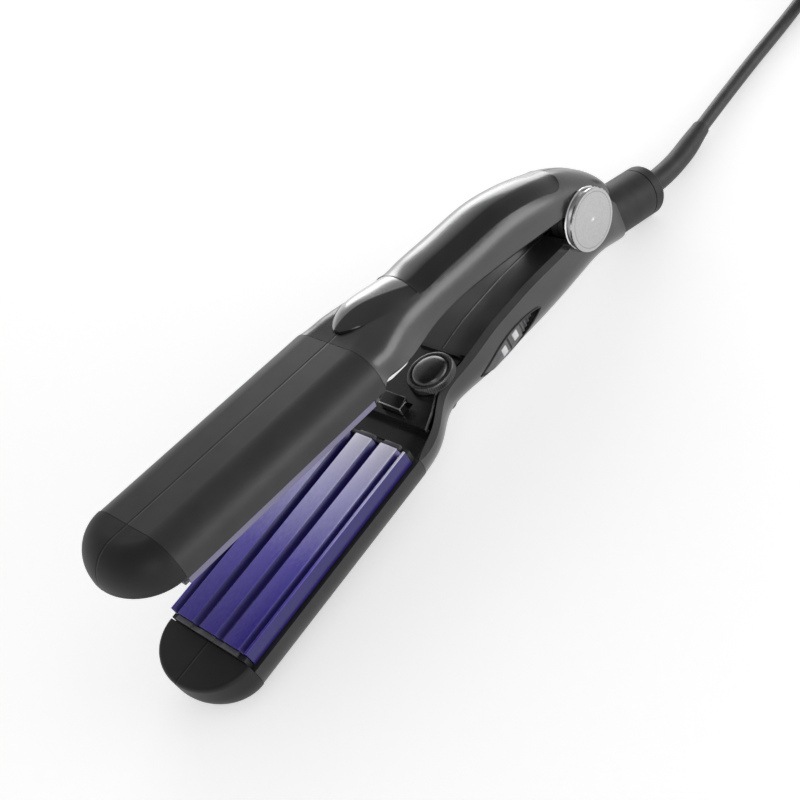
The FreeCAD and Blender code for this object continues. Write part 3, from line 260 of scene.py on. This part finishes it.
# ---------------------------------------------------------------- plug and strap
# A moulded two-pin plug with grip ribs across its waist and nickelled pins that are sleeved
# next to the body, and the woven strap that holds the hank.
def piece(name, builder, body, finish, stands_for=()):
    """A new piece from a bmesh. It rides on a body, takes a slot and stands for plain solids."""
    mesh = bpy.data.meshes.new(name)
    builder.to_mesh(mesh)
    builder.free()
    mesh.shade_smooth()
    mesh.set_sharp_from_angle(angle=radians(30.0))
    item = bpy.data.objects.new(name, mesh)
    mesh.materials.append(finish.material)
    bpy.context.scene.collection.objects.link(item)
    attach(item, body)
    if stands_for:
        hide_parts(*stands_for)
    return item


def give(finish, *nodes):
    """Puts a finish on solids whose shape is right as it is."""
    for name in nodes:
        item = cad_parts[name]
        item.data.materials.clear()
        item.data.materials.append(finish.material)


def rounded_edges(builder, width, least=30.0):
    """Rounds every edge between faces that meet at more than the least angle."""
    edges = [edge for edge in builder.edges
             if len(edge.link_faces) == 2 and edge.calc_face_angle(0.0) > radians(least)]
    bmesh.ops.bevel(builder, geom=edges, offset=width, offset_type="OFFSET", segments=3,
                    profile=0.5, affect="EDGES", material=-1, clamp_overlap=True)


def box(builder, low, high):
    """Adds a block between two corners."""
    middle = [(a + b) / 2 for a, b in zip(low, high)]
    sizes = [b - a for a, b in zip(low, high)]
    bmesh.ops.create_cube(builder, size=1.0,
                          matrix=Matrix.Translation(middle) @ Matrix.Diagonal((*sizes, 1.0)))


plug_low, plug_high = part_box("plug_body")
plug_middle = (plug_low + plug_high) / 2
plug_black = soft_plastic("plug_black", (0.012, 0.012, 0.013), (0.022, 0.022, 0.023),
                          roughness=0.4, grain=0.0006, grain_depth=0.00004)
plug_nose = 0.034    # from the waist of the plug to the face that holds the pins
plug_thick = plug_high.z - plug_low.z
plug_rounding = 0.0016
face_border, face_sunk = 0.0022, 0.0008    # the pins stand in a shallow panel
rib_count, rib_spacing, rib_wide = 5, 0.0034, 0.0014
rib_start, rib_rise = -0.0022, 0.0006
rib_half, rib_widening = 0.0062, 0.0012
plug_side = [(-0.016, 0.0046), (0.0, 0.009), (0.014, 0.017), (plug_nose, 0.017)]
plug = bmesh.new()
corners = [plug.verts.new((x, -y, 0.0)) for x, y in plug_side]
corners += [plug.verts.new((x, y, 0.0)) for x, y in reversed(plug_side)]
plug.faces.new(corners)
raised = bmesh.ops.extrude_face_region(plug, geom=plug.faces[:])["geom"]
bmesh.ops.translate(plug, verts=[part for part in raised if isinstance(part, bmesh.types.BMVert)],
                    vec=(0, 0, plug_thick))
bmesh.ops.recalc_face_normals(plug, faces=plug.faces[:])
front = [face for face in plug.faces if face.normal.x > 0.9]
bmesh.ops.inset_region(plug, faces=front, thickness=face_border, depth=0.0)
bmesh.ops.translate(plug, verts=front[0].verts[:], vec=(-face_sunk, 0, 0))
rounded_edges(plug, plug_rounding, least=20.0)
for rib in range(rib_count):
    rib_rear = rib_start + rib * rib_spacing
    rib_side = rib_half + rib * rib_widening
    for face in (0.0, plug_thick):
        box(plug, (rib_rear, -rib_side, face - rib_rise),
            (rib_rear + rib_wide, rib_side, face + rib_rise))
bmesh.ops.rotate(plug, verts=plug.verts[:], cent=(0, 0, 0), matrix=Matrix.Rotation(pi, 3, "Z"))
bmesh.ops.translate(plug, verts=plug.verts[:],
                    vec=(plug_low.x + plug_nose, plug_middle.y, plug_low.z))
plug_piece = piece("plug", plug, "lower_arm", plug_black, ["plug_body"])

pin_metal = Finish("sleeved_pin", {"Specular IOR Level": 0.5})
sleeve_length = 0.0088
sleeve_end = (plug_low.x - sleeve_length, 0, 0)
sleeve = (pin_metal.along((1, 0, 0), sleeve_end) * 4000 + 0.5).held()
pin_streaks = pin_metal.noise(0.0008, 2.0, pin_metal.place(scale=(0.1, 1.0, 1.0)))
pin_metal.set({
    "Base Color": pin_metal.blended(sleeve, (0.75, 0.72, 0.66, 1.0), (0.012, 0.012, 0.013, 1.0)),
    "Metallic": 1.0 - sleeve, "Roughness": pin_streaks * 0.2 + 0.15})
pin_metal.relief(pin_streaks, 0.00001)
give(pin_metal, "plug_pins")

strap_weave = Finish("strap_weave", {"Roughness": 0.75, "Sheen Weight": 0.2})
threads_across, threads_around = 7800, 6200    # radians of weave to the metre
weft = (strap_weave.along((1, 0, 0)) * threads_across).wave()
warp = (strap_weave.along((0, 1, 0)) * threads_around
        + strap_weave.along((0, 0, 1)) * threads_around).wave()
weave = weft * warp * 0.5 + 0.5
strap_weave.set({"Base Color": strap_weave.colours(weave, (0.2, (0.008, 0.008, 0.009)),
                                                   (0.8, (0.035, 0.035, 0.037)))})
strap_weave.relief(weave, 0.00015)

same_place = 0.000002    # corners closer than this are one


def merged(node):
    """A copy of a node's mesh whose triangles share their corners."""
    builder = bmesh.new()
    builder.from_mesh(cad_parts[node].data)
    bmesh.ops.remove_doubles(builder, verts=builder.verts[:], dist=same_place)
    return builder


def softened(node, width):
    """A merged copy of a node's mesh with its edges rounded."""
    builder = merged(node)
    bmesh.ops.dissolve_limit(builder, angle_limit=radians(2.0), verts=builder.verts[:],
                             edges=builder.edges[:])
    rounded_edges(builder, width)
    return builder


strap_piece = piece("hank_strap", softened("lead_tie", width=0.00018), "lower_arm", strap_weave,
                    ["lead_tie"])


# ---------------------------------------------------------------- table and light
# A pale seamless table in a studio whose walls are bright and whose ceiling is dim, so that
# polished black shows long soft highlights along its sides and a dark band on top.
table_white = Finish("table_white", {"Roughness": 0.65, "Specular IOR Level": 0.2,
                                     "Emission Strength": 1.0})
table_glow = 0.47
table_half = 5.0
paper = table_white.noise(0.004, 3.0)
camera_rays = add_node(table_white.tree, "ShaderNodeLightPath", {}, {}, "Is Camera Ray")
shine_rays = add_node(table_white.tree, "ShaderNodeLightPath", {}, {}, "Is Glossy Ray")
table_white.set({"Base Color": table_white.colours(paper, (0.3, (0.84, 0.84, 0.84)),
                                                   (0.7, (0.86, 0.86, 0.86))),
                 "Emission Color": (camera_rays + shine_rays).held() * table_glow})
table_builder = bmesh.new()
bmesh.ops.create_grid(table_builder, x_segments=1, y_segments=1, size=table_half)
table_mesh = bpy.data.meshes.new("table")
table_builder.to_mesh(table_mesh)
table_builder.free()
table = bpy.data.objects.new("table", table_mesh)
table_mesh.materials.append(table_white.material)
bpy.context.scene.collection.objects.link(table)

room = bpy.data.worlds.new("room")
room.use_nodes = True
room_tree = room.node_tree
direction = add_node(room_tree, "ShaderNodeTexCoord", {}, {}, "Generated")
upward = add_node(room_tree, "ShaderNodeSeparateXYZ", {}, {0: direction}, "Z")
walls = add_node(room_tree, "ShaderNodeValToRGB", {"stops": [
    (0.0, (0.95, 0.95, 0.95)), (0.15, (0.95, 0.95, 0.95)), (0.4, (0.48, 0.48, 0.48)),
    (0.7, (0.34, 0.34, 0.34)), (1.0, (0.40, 0.40, 0.40))]}, {"Fac": upward})
feed(room_tree, room_tree.nodes["Background"].inputs["Color"], walls)
bpy.context.scene.world = room


def soft_light(name, place, size, brightness):
    """A rectangular soft light that faces the object, of about that brightness."""
    light = bpy.data.lights.new(name, "AREA")
    light.shape = "RECTANGLE"
    light.size, light.size_y = size
    light.energy = brightness * pi * size[0] * size[1]
    item = bpy.data.objects.new(name, light)
    item.location = place
    item.rotation_euler = (-Vector(place)).to_track_quat("-Z", "Y").to_euler()
    bpy.context.scene.collection.objects.link(item)


soft_light("left_wall", (-1.0, -1.0, 0.4), (1.2, 0.6), 2.8)
soft_light("right_wall", (-0.7, 1.05, 0.3), (1.2, 0.5), 2.6)
soft_light("key", (0.85, 0.95, 1.0), (0.7, 0.7), 2.2)


# ---------------------------------------------------------------- handle shells
# Each handle is two black shells screwed together along the middle, moulded in a plastic that
# comes out of a polished tool, so the skin is smooth with a soft shine and fine hair scratches.
seam_shadow = (0.001, 0.001, 0.001, 1.0)
seam_depth = 1.35    # over 1, so that the middle of the line is full for some of its width


def mould_seam(made, sharpness):
    """1 on the line where the left and right halves meet and 0 beside it."""
    return (seam_depth - made.along((0, 1, 0)).size() * sharpness).held()


handle_black = Finish("handle_black", {"Specular IOR Level": 0.8, "Coat Weight": 0.15,
                                       "Coat Roughness": 0.15})
hair_lines = handle_black.noise(0.0011, 3.0, handle_black.place(scale=(0.08, 1.0, 1.0)))
smudges = handle_black.noise(0.018, 4.0)
handle_seam = mould_seam(handle_black, 2600)
handle_tone = handle_black.colours(handle_black.noise(0.009, 4.0), (0.3, (0.018, 0.018, 0.019)),
                                   (0.7, (0.025, 0.025, 0.026)))
handle_black.set({
    "Base Color": handle_black.blended(handle_seam, handle_tone, seam_shadow),
    "Roughness": smudges * 0.1 + hair_lines * 0.06 + handle_seam * 0.5 + 0.17})
handle_black.relief(handle_black.noise(0.0007) * 0.04 - handle_seam, 0.00012)
give(handle_black, "lower_handle_shell_left", "lower_handle_shell_right",
     "upper_handle_shell_left", "upper_handle_shell_right")


# ---------------------------------------------------------------- head shells and nose caps
# The heads are heat-resistant plastic with a fine eroded grain, closed at the tip by a cap that
# stays cool enough to hold; the caps are moulded in a softer grade with shallow creases.
head_black = Finish("head_black", {"Specular IOR Level": 0.5})
head_seam = mould_seam(head_black, 2300)
head_tone = head_black.colours(head_black.noise(0.012, 5.0), (0.3, (0.019, 0.019, 0.020)),
                               (0.7, (0.028, 0.028, 0.029)))
head_grain = head_black.noise(0.00035, 3.0)
head_black.set({
    "Base Color": head_black.blended(head_seam, head_tone, seam_shadow),
    "Roughness": head_black.noise(0.02, 3.0) * 0.08 + head_grain * 0.06 + 0.36})
head_black.relief(head_grain * 0.12 - head_seam, 0.00012)
give(head_black, "lower_head_shell_left", "lower_head_shell_right",
     "upper_head_shell_left", "upper_head_shell_right")

nose_black = Finish("nose_black", {"Specular IOR Level": 0.35})
nose_seam = mould_seam(nose_black, 2300)
creases = nose_black.noise(0.016, 2.0)
nose_grain = nose_black.noise(0.0004, 3.0)
nose_tone = nose_black.colours(creases, (0.3, (0.008, 0.008, 0.009)), (0.7, (0.013, 0.013, 0.014)))
nose_black.set({
    "Base Color": nose_black.blended(nose_seam * 0.7, nose_tone, seam_shadow),
    "Roughness": creases * 0.12 + nose_grain * 0.05 + 0.42})
nose_black.relief(creases * 2.4 + nose_grain * 0.12 - nose_seam, 0.00014)
give(nose_black, "lower_nose_cap", "upper_nose_cap")


# ---------------------------------------------------------------- deck, lock knob and catch
# Between the plates and the handle a glossy deck carries the lock: a knob with a knurled side
# and a domed cap turns a cam that slides the catch forward into its keeper on the upper arm.
lower_along, lower_up = Vector((0.99496, 0, -0.10025)), Vector((0.10025, 0, 0.99496))


def on_lower_arm(origin):
    """Turns a piece drawn flat so that it lies on the lower arm at that point."""
    turn = Matrix((lower_along, (0, 1, 0), lower_up)).transposed().to_4x4()
    return Matrix.Translation(origin) @ turn


deck_black = Finish("deck_black", {"Specular IOR Level": 0.5, "Coat Weight": 0.2,
                                   "Coat Roughness": 0.1})
deck_smudge = deck_black.noise(0.01, 4.0)
deck_black.set({"Base Color": deck_black.colours(deck_smudge, (0.3, (0.006, 0.006, 0.007)),
                                                 (0.7, (0.011, 0.011, 0.012))),
                "Roughness": deck_smudge * 0.14 + 0.2})
deck_black.relief(deck_black.noise(0.0008), 0.000012)
give(deck_black, "lower_deck", "upper_deck")
piece("keeper", softened("lock_keeper", width=0.0003), "upper_arm", deck_black,
      ["lock_keeper"])
piece("catch", softened("lock_catch", width=0.00035), "catch", deck_black,
      ["lock_catch"])


def turned(profile, steps):
    """A round piece from half its section, as (radius, height) in millimetres."""
    builder = bmesh.new()
    chain = [builder.verts.new((radius / 1000, 0.0, height / 1000)) for radius, height in profile]
    for first, second in zip(chain, chain[1:]):
        builder.edges.new((first, second))
    bmesh.ops.spin(builder, geom=builder.verts[:] + builder.edges[:], cent=(0, 0, 0),
                   axis=(0, 0, 1), angle=2 * pi, steps=steps, use_merge=True)
    bmesh.ops.remove_doubles(builder, verts=builder.verts[:], dist=same_place * 2)
    bmesh.ops.recalc_face_normals(builder, faces=builder.faces[:])
    return builder


knob_seat = Vector((0.025666, 0.0052, 0.032608))
knob_ribs = 72
knurl_inside, knurl_top = 0.0098, 0.0033    # only the side of the knob is knurled
knurl_share = 0.962                         # a groove's radius against a rib's
knob_shoulder = 0.0037                      # height of the edge that carries a painted highlight
knob = turned([(2.0, 0.35), (9.9, 0.35), (10.2, 0.6), (10.2, 2.9), (10.1, 3.2), (9.5, 3.8),
               (9.1, 3.95), (8.5, 3.9), (8.2, 3.4), (7.9, 3.1), (7.6, 3.4), (7.3, 4.2),
               (6.6, 4.85), (5.2, 5.2), (3.0, 5.42), (0.0, 5.5)], knob_ribs * 2)
for vert in knob.verts:
    reach = hypot(vert.co.x, vert.co.y)
    notch = round(atan2(vert.co.y, vert.co.x) / pi * knob_ribs) % 2
    if reach > knurl_inside and vert.co.z < knurl_top and notch:
        vert.co.x *= knurl_share
        vert.co.y *= knurl_share
bmesh.ops.transform(knob, matrix=on_lower_arm(knob_seat), verts=knob.verts[:])
knob_black = Finish("knob_black", {"Specular IOR Level": 0.9})
knob_mottle = knob_black.noise(0.0035, 4.0)
knob_height = knob_black.along(tuple(lower_up), tuple(knob_seat))
# painted highlight: a lighter ring at the shoulder's edge, broken up by mottle
rim_highlight = (1.0 - ((knob_height - knob_shoulder).size() * 1600).held()) * (knob_mottle * 0.6 + 0.4)
knob_black.set({"Base Color": knob_black.colours(rim_highlight, (0.0, (0.016, 0.016, 0.017)),
                                                 (1.0, (0.07, 0.07, 0.073))),
                "Roughness": knob_mottle * 0.12 + 0.2})
knob_black.relief(knob_black.noise(0.0005), 0.00001)
piece("knob", knob, "knob", knob_black, ["lock_knob"])

spindle_steel = Finish("spindle_steel", {"Metallic": 1.0})
turning = spindle_steel.noise(0.0006, 3.0)
spindle_steel.set({"Base Color": spindle_steel.colours(turning, (0.3, (0.42, 0.42, 0.43)),
                                                       (0.7, (0.56, 0.56, 0.57))),
                   "Roughness": turning * 0.2 + 0.25})
give(spindle_steel, "lock_spindle")

# A bright steel strip, a painted highlight on the catch's edges, runs along its front edge and is
# bent down and back at its open side.
catch_spots = [vert.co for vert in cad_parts["lock_catch"].data.vertices]
catch_front = max(spot.dot(lower_along) for spot in catch_spots)
catch_top = max(spot.dot(lower_up) for spot in catch_spots
                if spot.dot(lower_along) > catch_front - 0.0001)
catch_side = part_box("lock_catch")[1].y
strip_wide, strip_deep, strip_thin, strip_proud = 0.0005, 0.0004, 0.0003, 0.0001
strip_down, strip_back = 0.0036, 0.0042
strip_in, strip_out = catch_side - strip_wide, catch_side + strip_proud
edge_glint = bmesh.new()
box(edge_glint, (-strip_deep, -catch_side, -strip_wide), (strip_proud, catch_side, strip_proud))
box(edge_glint, (-strip_deep, strip_in, -strip_down), (strip_proud, strip_out, -strip_deep))
box(edge_glint, (-strip_back, strip_in, -strip_thin), (-strip_thin, strip_out, strip_proud))
rounded_edges(edge_glint, width=0.0001)
bmesh.ops.transform(edge_glint, verts=edge_glint.verts[:], matrix=on_lower_arm(
    lower_along * catch_front + lower_up * catch_top))
# painted highlight: the strip stands in for the glint on the catch's edges
piece("catch_edge_glint", edge_glint, "catch", spindle_steel)


# ---------------------------------------------------------------- crimp plates
# Two waved aluminium plates with a violet ceramic coat. The lands that press the hair are lapped;
# a painted highlight makes them paler towards the rear and a painted shade keeps the flanks dark.
def plate_violet(name, node, up, highlight_from):
    """The coat, with painted light: a painted shade darkens the flanks below the lands that face
    along up, a painted highlight pales the lands towards the rear, and a painted pale lavender
    highlight covers the plate beyond that distance from the middle."""
    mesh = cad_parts[node].data
    land = max(vert.co.dot(Vector(up)) for vert in mesh.vertices)
    rear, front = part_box(node)
    flank_sharpness, highlight_sharpness = 2400, 5000
    made = Finish(name, {"Specular IOR Level": 0.6, "Coat Weight": 0.25, "Coat Roughness": 0.2})
    # painted shade: the flanks below the lands get a darker violet
    shaded_flank = ((land - made.along(up)) * flank_sharpness - 0.12).held()
    # painted highlight: the lands grow paler towards the rear
    rear_highlight = ((front.x - made.along((1, 0, 0))) / (front.x - rear.x)).held()
    pearl = made.noise(0.0009, 3.0, made.place(scale=(0.5, 1.0, 1.0)))
    land_highlight = rear_highlight ** 1.25 + (pearl - 0.5) * 0.16
    lands = made.colours(land_highlight, (0.0, (0.052, 0.032, 0.32)), (0.3, (0.17, 0.14, 0.62)),
                         (0.65, (0.62, 0.60, 0.98)), (1.0, (0.88, 0.86, 1.0)))
    coat_and_painted_light = made.blended(shaded_flank, lands, (0.020, 0.011, 0.15, 1.0))
    # painted highlight: pale lavender metal beyond that distance from the middle
    edge_highlight = ((made.along((0, 1, 0)).size() - highlight_from) * highlight_sharpness).held()
    made.set({"Base Color": made.blended(edge_highlight, coat_and_painted_light, (0.42, 0.40, 0.50, 1.0)),
              "Metallic": 0.25 - shaded_flank * 0.15 + edge_highlight * 0.4, "Roughness": pearl * 0.12 + 0.3})
    made.relief(pearl, 0.00001)
    return made


upper_plate_faces = (0.0619, 0, -0.9981)
# beyond these distances from the middle each plate gets a painted pale highlight
lower_highlight_from, upper_highlight_from = 0.0235, 0.0179
plate_rounding = 0.00022
lower_violet = plate_violet("lower_plate_violet", "lower_crimp_plate", tuple(lower_up),
                            lower_highlight_from)
upper_violet = plate_violet("upper_plate_violet", "upper_crimp_plate", upper_plate_faces,
                            upper_highlight_from)
piece("lower_plate", softened("lower_crimp_plate", plate_rounding), "lower_arm", lower_violet,
      ["lower_crimp_plate"])
piece("upper_plate", softened("upper_crimp_plate", plate_rounding), "upper_arm", upper_violet,
      ["upper_crimp_plate"])


# ---------------------------------------------------------------- carriers and end tabs
# A glass-filled carrier holds each plate clear of its head, and grey tabs at both ends stand
# between the lands to hold the plate down and keep hair off the hot edge.
carrier_black = soft_plastic("carrier_black", (0.010, 0.010, 0.011), (0.020, 0.020, 0.021),
                             roughness=0.5, grain=0.0009, grain_depth=0.00005)
give(carrier_black, "lower_plate_carrier", "upper_plate_carrier")
tab_grey = soft_plastic("tab_grey", (0.07, 0.07, 0.078), (0.11, 0.11, 0.12),
                        roughness=0.38, grain=0.0006, grain_depth=0.00003)
tab_rounding = 0.00025
piece("lower_tabs", softened("lower_end_tabs", tab_rounding), "lower_arm", tab_grey,
      ["lower_end_tabs"])
piece("upper_tabs", softened("upper_end_tabs", tab_rounding), "upper_arm", tab_grey,
      ["upper_end_tabs"])


# ---------------------------------------------------------------- heaters and electrics
# Inside: a ceramic strip heats each plate, a spring clamp presses it home, a thermostat stands
# on the upper one, and silicone leads run back to the board behind the switch.
ceramic_white = Finish("ceramic_white", {"Specular IOR Level": 0.4})
pores = ceramic_white.noise(0.0008, 4.0)
ceramic_white.set({"Base Color": ceramic_white.colours(pores, (0.3, (0.68, 0.66, 0.60)),
                                                       (0.7, (0.82, 0.80, 0.74))),
                   "Roughness": pores * 0.2 + 0.5})
ceramic_white.relief(pores, 0.00005)
give(ceramic_white, "lower_heating_strip", "upper_heating_strip")

rolled_steel = Finish("rolled_steel", {"Metallic": 1.0})
rolling = rolled_steel.noise(0.0007, 3.0, rolled_steel.place(scale=(0.06, 1.0, 1.0)))
rolled_steel.set({"Base Color": rolled_steel.colours(rolling, (0.3, (0.40, 0.40, 0.41)),
                                                     (0.7, (0.56, 0.56, 0.58))),
                  "Roughness": rolling * 0.2 + 0.26})
rolled_steel.relief(rolling, 0.00001)
give(rolled_steel, "lower_heater_clamp", "upper_heater_clamp")
silicone = soft_plastic("silicone_lead", (0.10, 0.10, 0.105), (0.16, 0.16, 0.165),
                        roughness=0.55, grain=0.0005, grain_depth=0.00003)
give(silicone, "lower_heater_leads", "upper_heater_leads", "mains_core")
thermostat_black = soft_plastic("thermostat_black", (0.015, 0.015, 0.016), (0.03, 0.03, 0.03),
                                roughness=0.5, grain=0.0007, grain_depth=0.00004)
give(thermostat_black, "thermostat", "switch_module", "indicator_led")

board_green = Finish("board_green", {"Specular IOR Level": 0.5})
glass_threads = 9000    # radians of weave to the metre
glass_x = (board_green.along((1, 0, 0)) * glass_threads).wave()
glass_y = (board_green.along((0, 1, 0)) * glass_threads).wave()
board_green.set({"Base Color": board_green.colours(glass_x * glass_y * 0.5 + 0.5,
                                                   (0.2, (0.012, 0.10, 0.04)),
                                                   (0.8, (0.02, 0.15, 0.06))),
                 "Roughness": board_green.noise(0.004) * 0.15 + 0.25})
board_green.relief(glass_x * glass_y, 0.00001)
give(board_green, "control_board")


# ---------------------------------------------------------------- hinge
# A steel pin joins a blackened block in the lower handle and a yoke in the upper one, with a
# coil spring between. Outside, each end has a chrome ring, a collar and a satin cap disc.
black_steel = Finish("blackened_steel", {"Specular IOR Level": 0.5})
bluing = black_steel.noise(0.003, 4.0)
black_steel.set({"Base Color": black_steel.colours(bluing, (0.3, (0.010, 0.010, 0.011)),
                                                   (0.7, (0.022, 0.022, 0.025))),
                 "Metallic": bluing * 0.3 + 0.3, "Roughness": bluing * 0.2 + 0.34})
black_steel.relief(black_steel.noise(0.0005), 0.00002)
give(black_steel, "hinge_block", "hinge_yoke", "hinge_pin")

spring_piece = piece("spring", merged("return_spring"), "lower_arm", black_steel,
                     ["return_spring"])
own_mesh(spring_piece)

hinge_axis = (-0.070152, 0.0, 0.039247)
satin_silver = Finish("satin_silver", {})
polished_from, scribed_at = 0.0123, 0.0119    # radii of the disc's bright rim and scribed ring
brushed = satin_silver.noise(0.0006, 3.0)
from_axis = (satin_silver.along((1, 0, 0), hinge_axis) ** 2.0
             + satin_silver.along((0, 0, 1), hinge_axis) ** 2.0) ** 0.5
rim = ((from_axis - polished_from) * 3200).held()
fine_ring = 1.0 - ((from_axis - scribed_at).size() * 4200).held()
disc_tone = satin_silver.colours(brushed, (0.25, (0.46, 0.46, 0.465)), (0.75, (0.56, 0.56, 0.565)))
satin_silver.set({
    "Base Color": satin_silver.blended(fine_ring, disc_tone, (0.25, 0.25, 0.26, 1.0)),
    "Metallic": 1.0 - fine_ring * 0.3, "Roughness": brushed * 0.1 + 0.32 - rim * 0.24})
satin_silver.relief(brushed * 0.3 - fine_ring, 0.00004)
give(satin_silver, "hinge_discs", "hinge_collars")

chrome = Finish("chrome_ring", {"Metallic": 1.0})
polish = chrome.noise(0.004, 4.0)
chrome.set({"Base Color": chrome.colours(polish, (0.3, (0.80, 0.80, 0.82)),
                                         (0.7, (0.88, 0.88, 0.89))),
            "Roughness": polish * 0.08 + 0.05})
chrome.relief(polish, 0.00001)
give(chrome, "hinge_rings")


# ---------------------------------------------------------------- switch
# A long grey rocker with grip ribs tilts on a pin in the side of the lower handle. Two pale pads
# are set in it, and a thin black ring, darker than the shell, lies on it round its pointed
# opening.
rocker_grey = soft_plastic("rocker_grey", (0.10, 0.10, 0.105), (0.15, 0.15, 0.155),
                           roughness=0.34, grain=0.0006, grain_depth=0.00003)
give(rocker_grey, "switch_rocker")
give(spindle_steel, "switch_pin")
pad_white = soft_plastic("pad_white", (0.70, 0.70, 0.71), (0.80, 0.80, 0.81),
                         roughness=0.25, grain=0.0007, grain_depth=0.00002)
piece("pads", softened("switch_pads", width=0.0005), "rocker", pad_white,
      ["switch_pads"])

shell = bmesh.new()
shell.from_mesh(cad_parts["lower_handle_shell_right"].data)
shell_tree = BVHTree.FromBMesh(shell)
shell.free()
rocker_low, rocker_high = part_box("switch_rocker")
beside_shell, rocker_height = 0.04, 0.023
rocker_middle = Vector(((rocker_low.x + rocker_high.x) / 2, beside_shell, rocker_height))
opening_half, opening_height = 0.01975, 0.0043
outline_gap, outline_stretch = 0.0004, 1.012    # how far it lies outside the opening's edge
outline_half_thick = 0.00045
outline_raised = 0.00005
arc_radius = (opening_half ** 2 + opening_height ** 2) / (2 * opening_height)
arc_reach = atan2(opening_half, arc_radius - opening_height)
arc_steps = 24
outline_spots = []
for side in (1, -1):
    for step in range(arc_steps):
        angle = side * arc_reach * (1 - step * 2 / arc_steps)
        above = side * (arc_radius * cos(angle) - arc_radius + opening_height + outline_gap)
        ahead = arc_radius * sin(angle) * outline_stretch
        hit = shell_tree.ray_cast(rocker_middle + lower_along * ahead + lower_up * above,
                                  Vector((0, -1, 0)))[0]
        if hit:
            outline_spots.append(hit + Vector((0, outline_raised, 0)))
outline_curve = bpy.data.curves.new("switch_outline", "CURVE")
outline_curve.dimensions = "3D"
outline_curve.bevel_depth = outline_half_thick
outline_curve.bevel_resolution = 3
outline_line = outline_curve.splines.new("POLY")
outline_line.points.add(len(outline_spots) - 1)
for point, spot in zip(outline_line.points, outline_spots):
    point.co = (*spot, 1.0)
outline_line.use_cyclic_u = True
outline_piece = bpy.data.objects.new("switch_outline", outline_curve)
bpy.context.scene.collection.objects.link(outline_piece)
outline_black = soft_plastic("outline_black", (0.004, 0.004, 0.0045), (0.008, 0.008, 0.0085),
                            roughness=0.35, grain=0.0006, grain_depth=0.00002)
outline_curve.materials.append(outline_black.material)
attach(outline_piece, "lower_arm")


# ---------------------------------------------------------------- lens and inlay
# The grip's top inlay is a clear-coated black strip with a painted highlight in metallic silver
# that fades in towards its left edge and dims again at the edge. The drop-shaped lens over the
# lamp is smoked, with a painted silver highlight along its crest.
piano_black = Finish("piano_black", {"Specular IOR Level": 0.5, "Coat Weight": 0.3,
                                     "Coat Roughness": 0.12})
sheen_from = 0.0062    # the painted silver highlight starts here, on the right of the middle
swirls = piano_black.noise(0.008, 5.0)
inlay_y = piano_black.along((0, 1, 0))
# painted highlight: silver metal fades in towards the left edge and dims at the edge itself
painted_sheen = ((sheen_from - inlay_y) * 100).held()
left_edge = (inlay_y * -200).held()
sheen_tone = piano_black.blended(left_edge, (0.56, 0.56, 0.57, 1.0), (0.14, 0.14, 0.145, 1.0))
sheen_mottle = piano_black.noise(0.0006, 3.0)
piano_tone = piano_black.colours(swirls, (0.3, (0.003, 0.003, 0.0035)),
                                 (0.7, (0.006, 0.006, 0.0065)))
piano_black.set({
    "Base Color": piano_black.blended(painted_sheen * (sheen_mottle * 0.3 + 0.7), piano_tone, sheen_tone),
    "Metallic": painted_sheen * 0.85, "Roughness": swirls * 0.08 + 0.14 + painted_sheen * 0.14})
piano_black.relief(piano_black.noise(0.003), 0.00001)
give(piano_black, "top_inlay")

smoked_lens = Finish("smoked_lens", {"Specular IOR Level": 0.7, "Coat Weight": 0.6,
                                     "Coat Roughness": 0.03})
lens_low, lens_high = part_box("indicator_lens")
highlight_at_tip, highlight_widens = -0.0012, 0.0085
back_share = (lens_high.x - smoked_lens.along((1, 0, 0))) / (lens_high.x - lens_low.x)
highlight_line = back_share * highlight_widens + highlight_at_tip
# painted highlight: silver metal left of a line that moves right towards the back of the lens
painted_crest_highlight = ((highlight_line - smoked_lens.along((0, 1, 0))) * 1600 + 0.5).held()
lens_swirl = smoked_lens.noise(0.006, 4.0)
smoked_lens.set({
    "Base Color": smoked_lens.blended(painted_crest_highlight, (0.004, 0.004, 0.0045, 1.0),
                                      (0.30, 0.30, 0.305, 1.0)),
    "Metallic": painted_crest_highlight * 0.85, "Roughness": lens_swirl * 0.1 + 0.08 + painted_crest_highlight * 0.16})
smoked_lens.relief(smoked_lens.noise(0.003), 0.00001)
give(smoked_lens, "indicator_lens")


# ---------------------------------------------------------------- screws
# Zinc-plated steel screws pull the left and right shells of each handle together, sunk in
# holes in the left one.
zinc = Finish("zinc_screw", {"Metallic": 1.0})
plating = zinc.noise(0.0015, 4.0)
zinc.set({"Base Color": zinc.colours(plating, (0.3, (0.50, 0.51, 0.53)),
                                     (0.7, (0.66, 0.67, 0.70))),
          "Roughness": plating * 0.2 + 0.22})
zinc.relief(plating, 0.00001)
give(zinc, "lower_screws", "upper_screws")


# ---------------------------------------------------------------- swivel and strain relief
# The lead leaves through a collar that turns at the tail of the lower handle, and a tapered
# boot of soft rubber keeps it from kinking.
collar_black = soft_plastic("collar_black", (0.014, 0.014, 0.015), (0.022, 0.022, 0.023),
                            roughness=0.5, grain=0.0004, grain_depth=0.00003)
collar_black.set({"Specular IOR Level": 0.35})
give(collar_black, "swivel_collar", "cord_sleeve", "cord_clamp")
relief_rubber = soft_plastic("relief_rubber", (0.012, 0.012, 0.013), (0.024, 0.024, 0.025),
                             roughness=0.48, grain=0.0005, grain_depth=0.00004)
give(relief_rubber, "strain_relief")
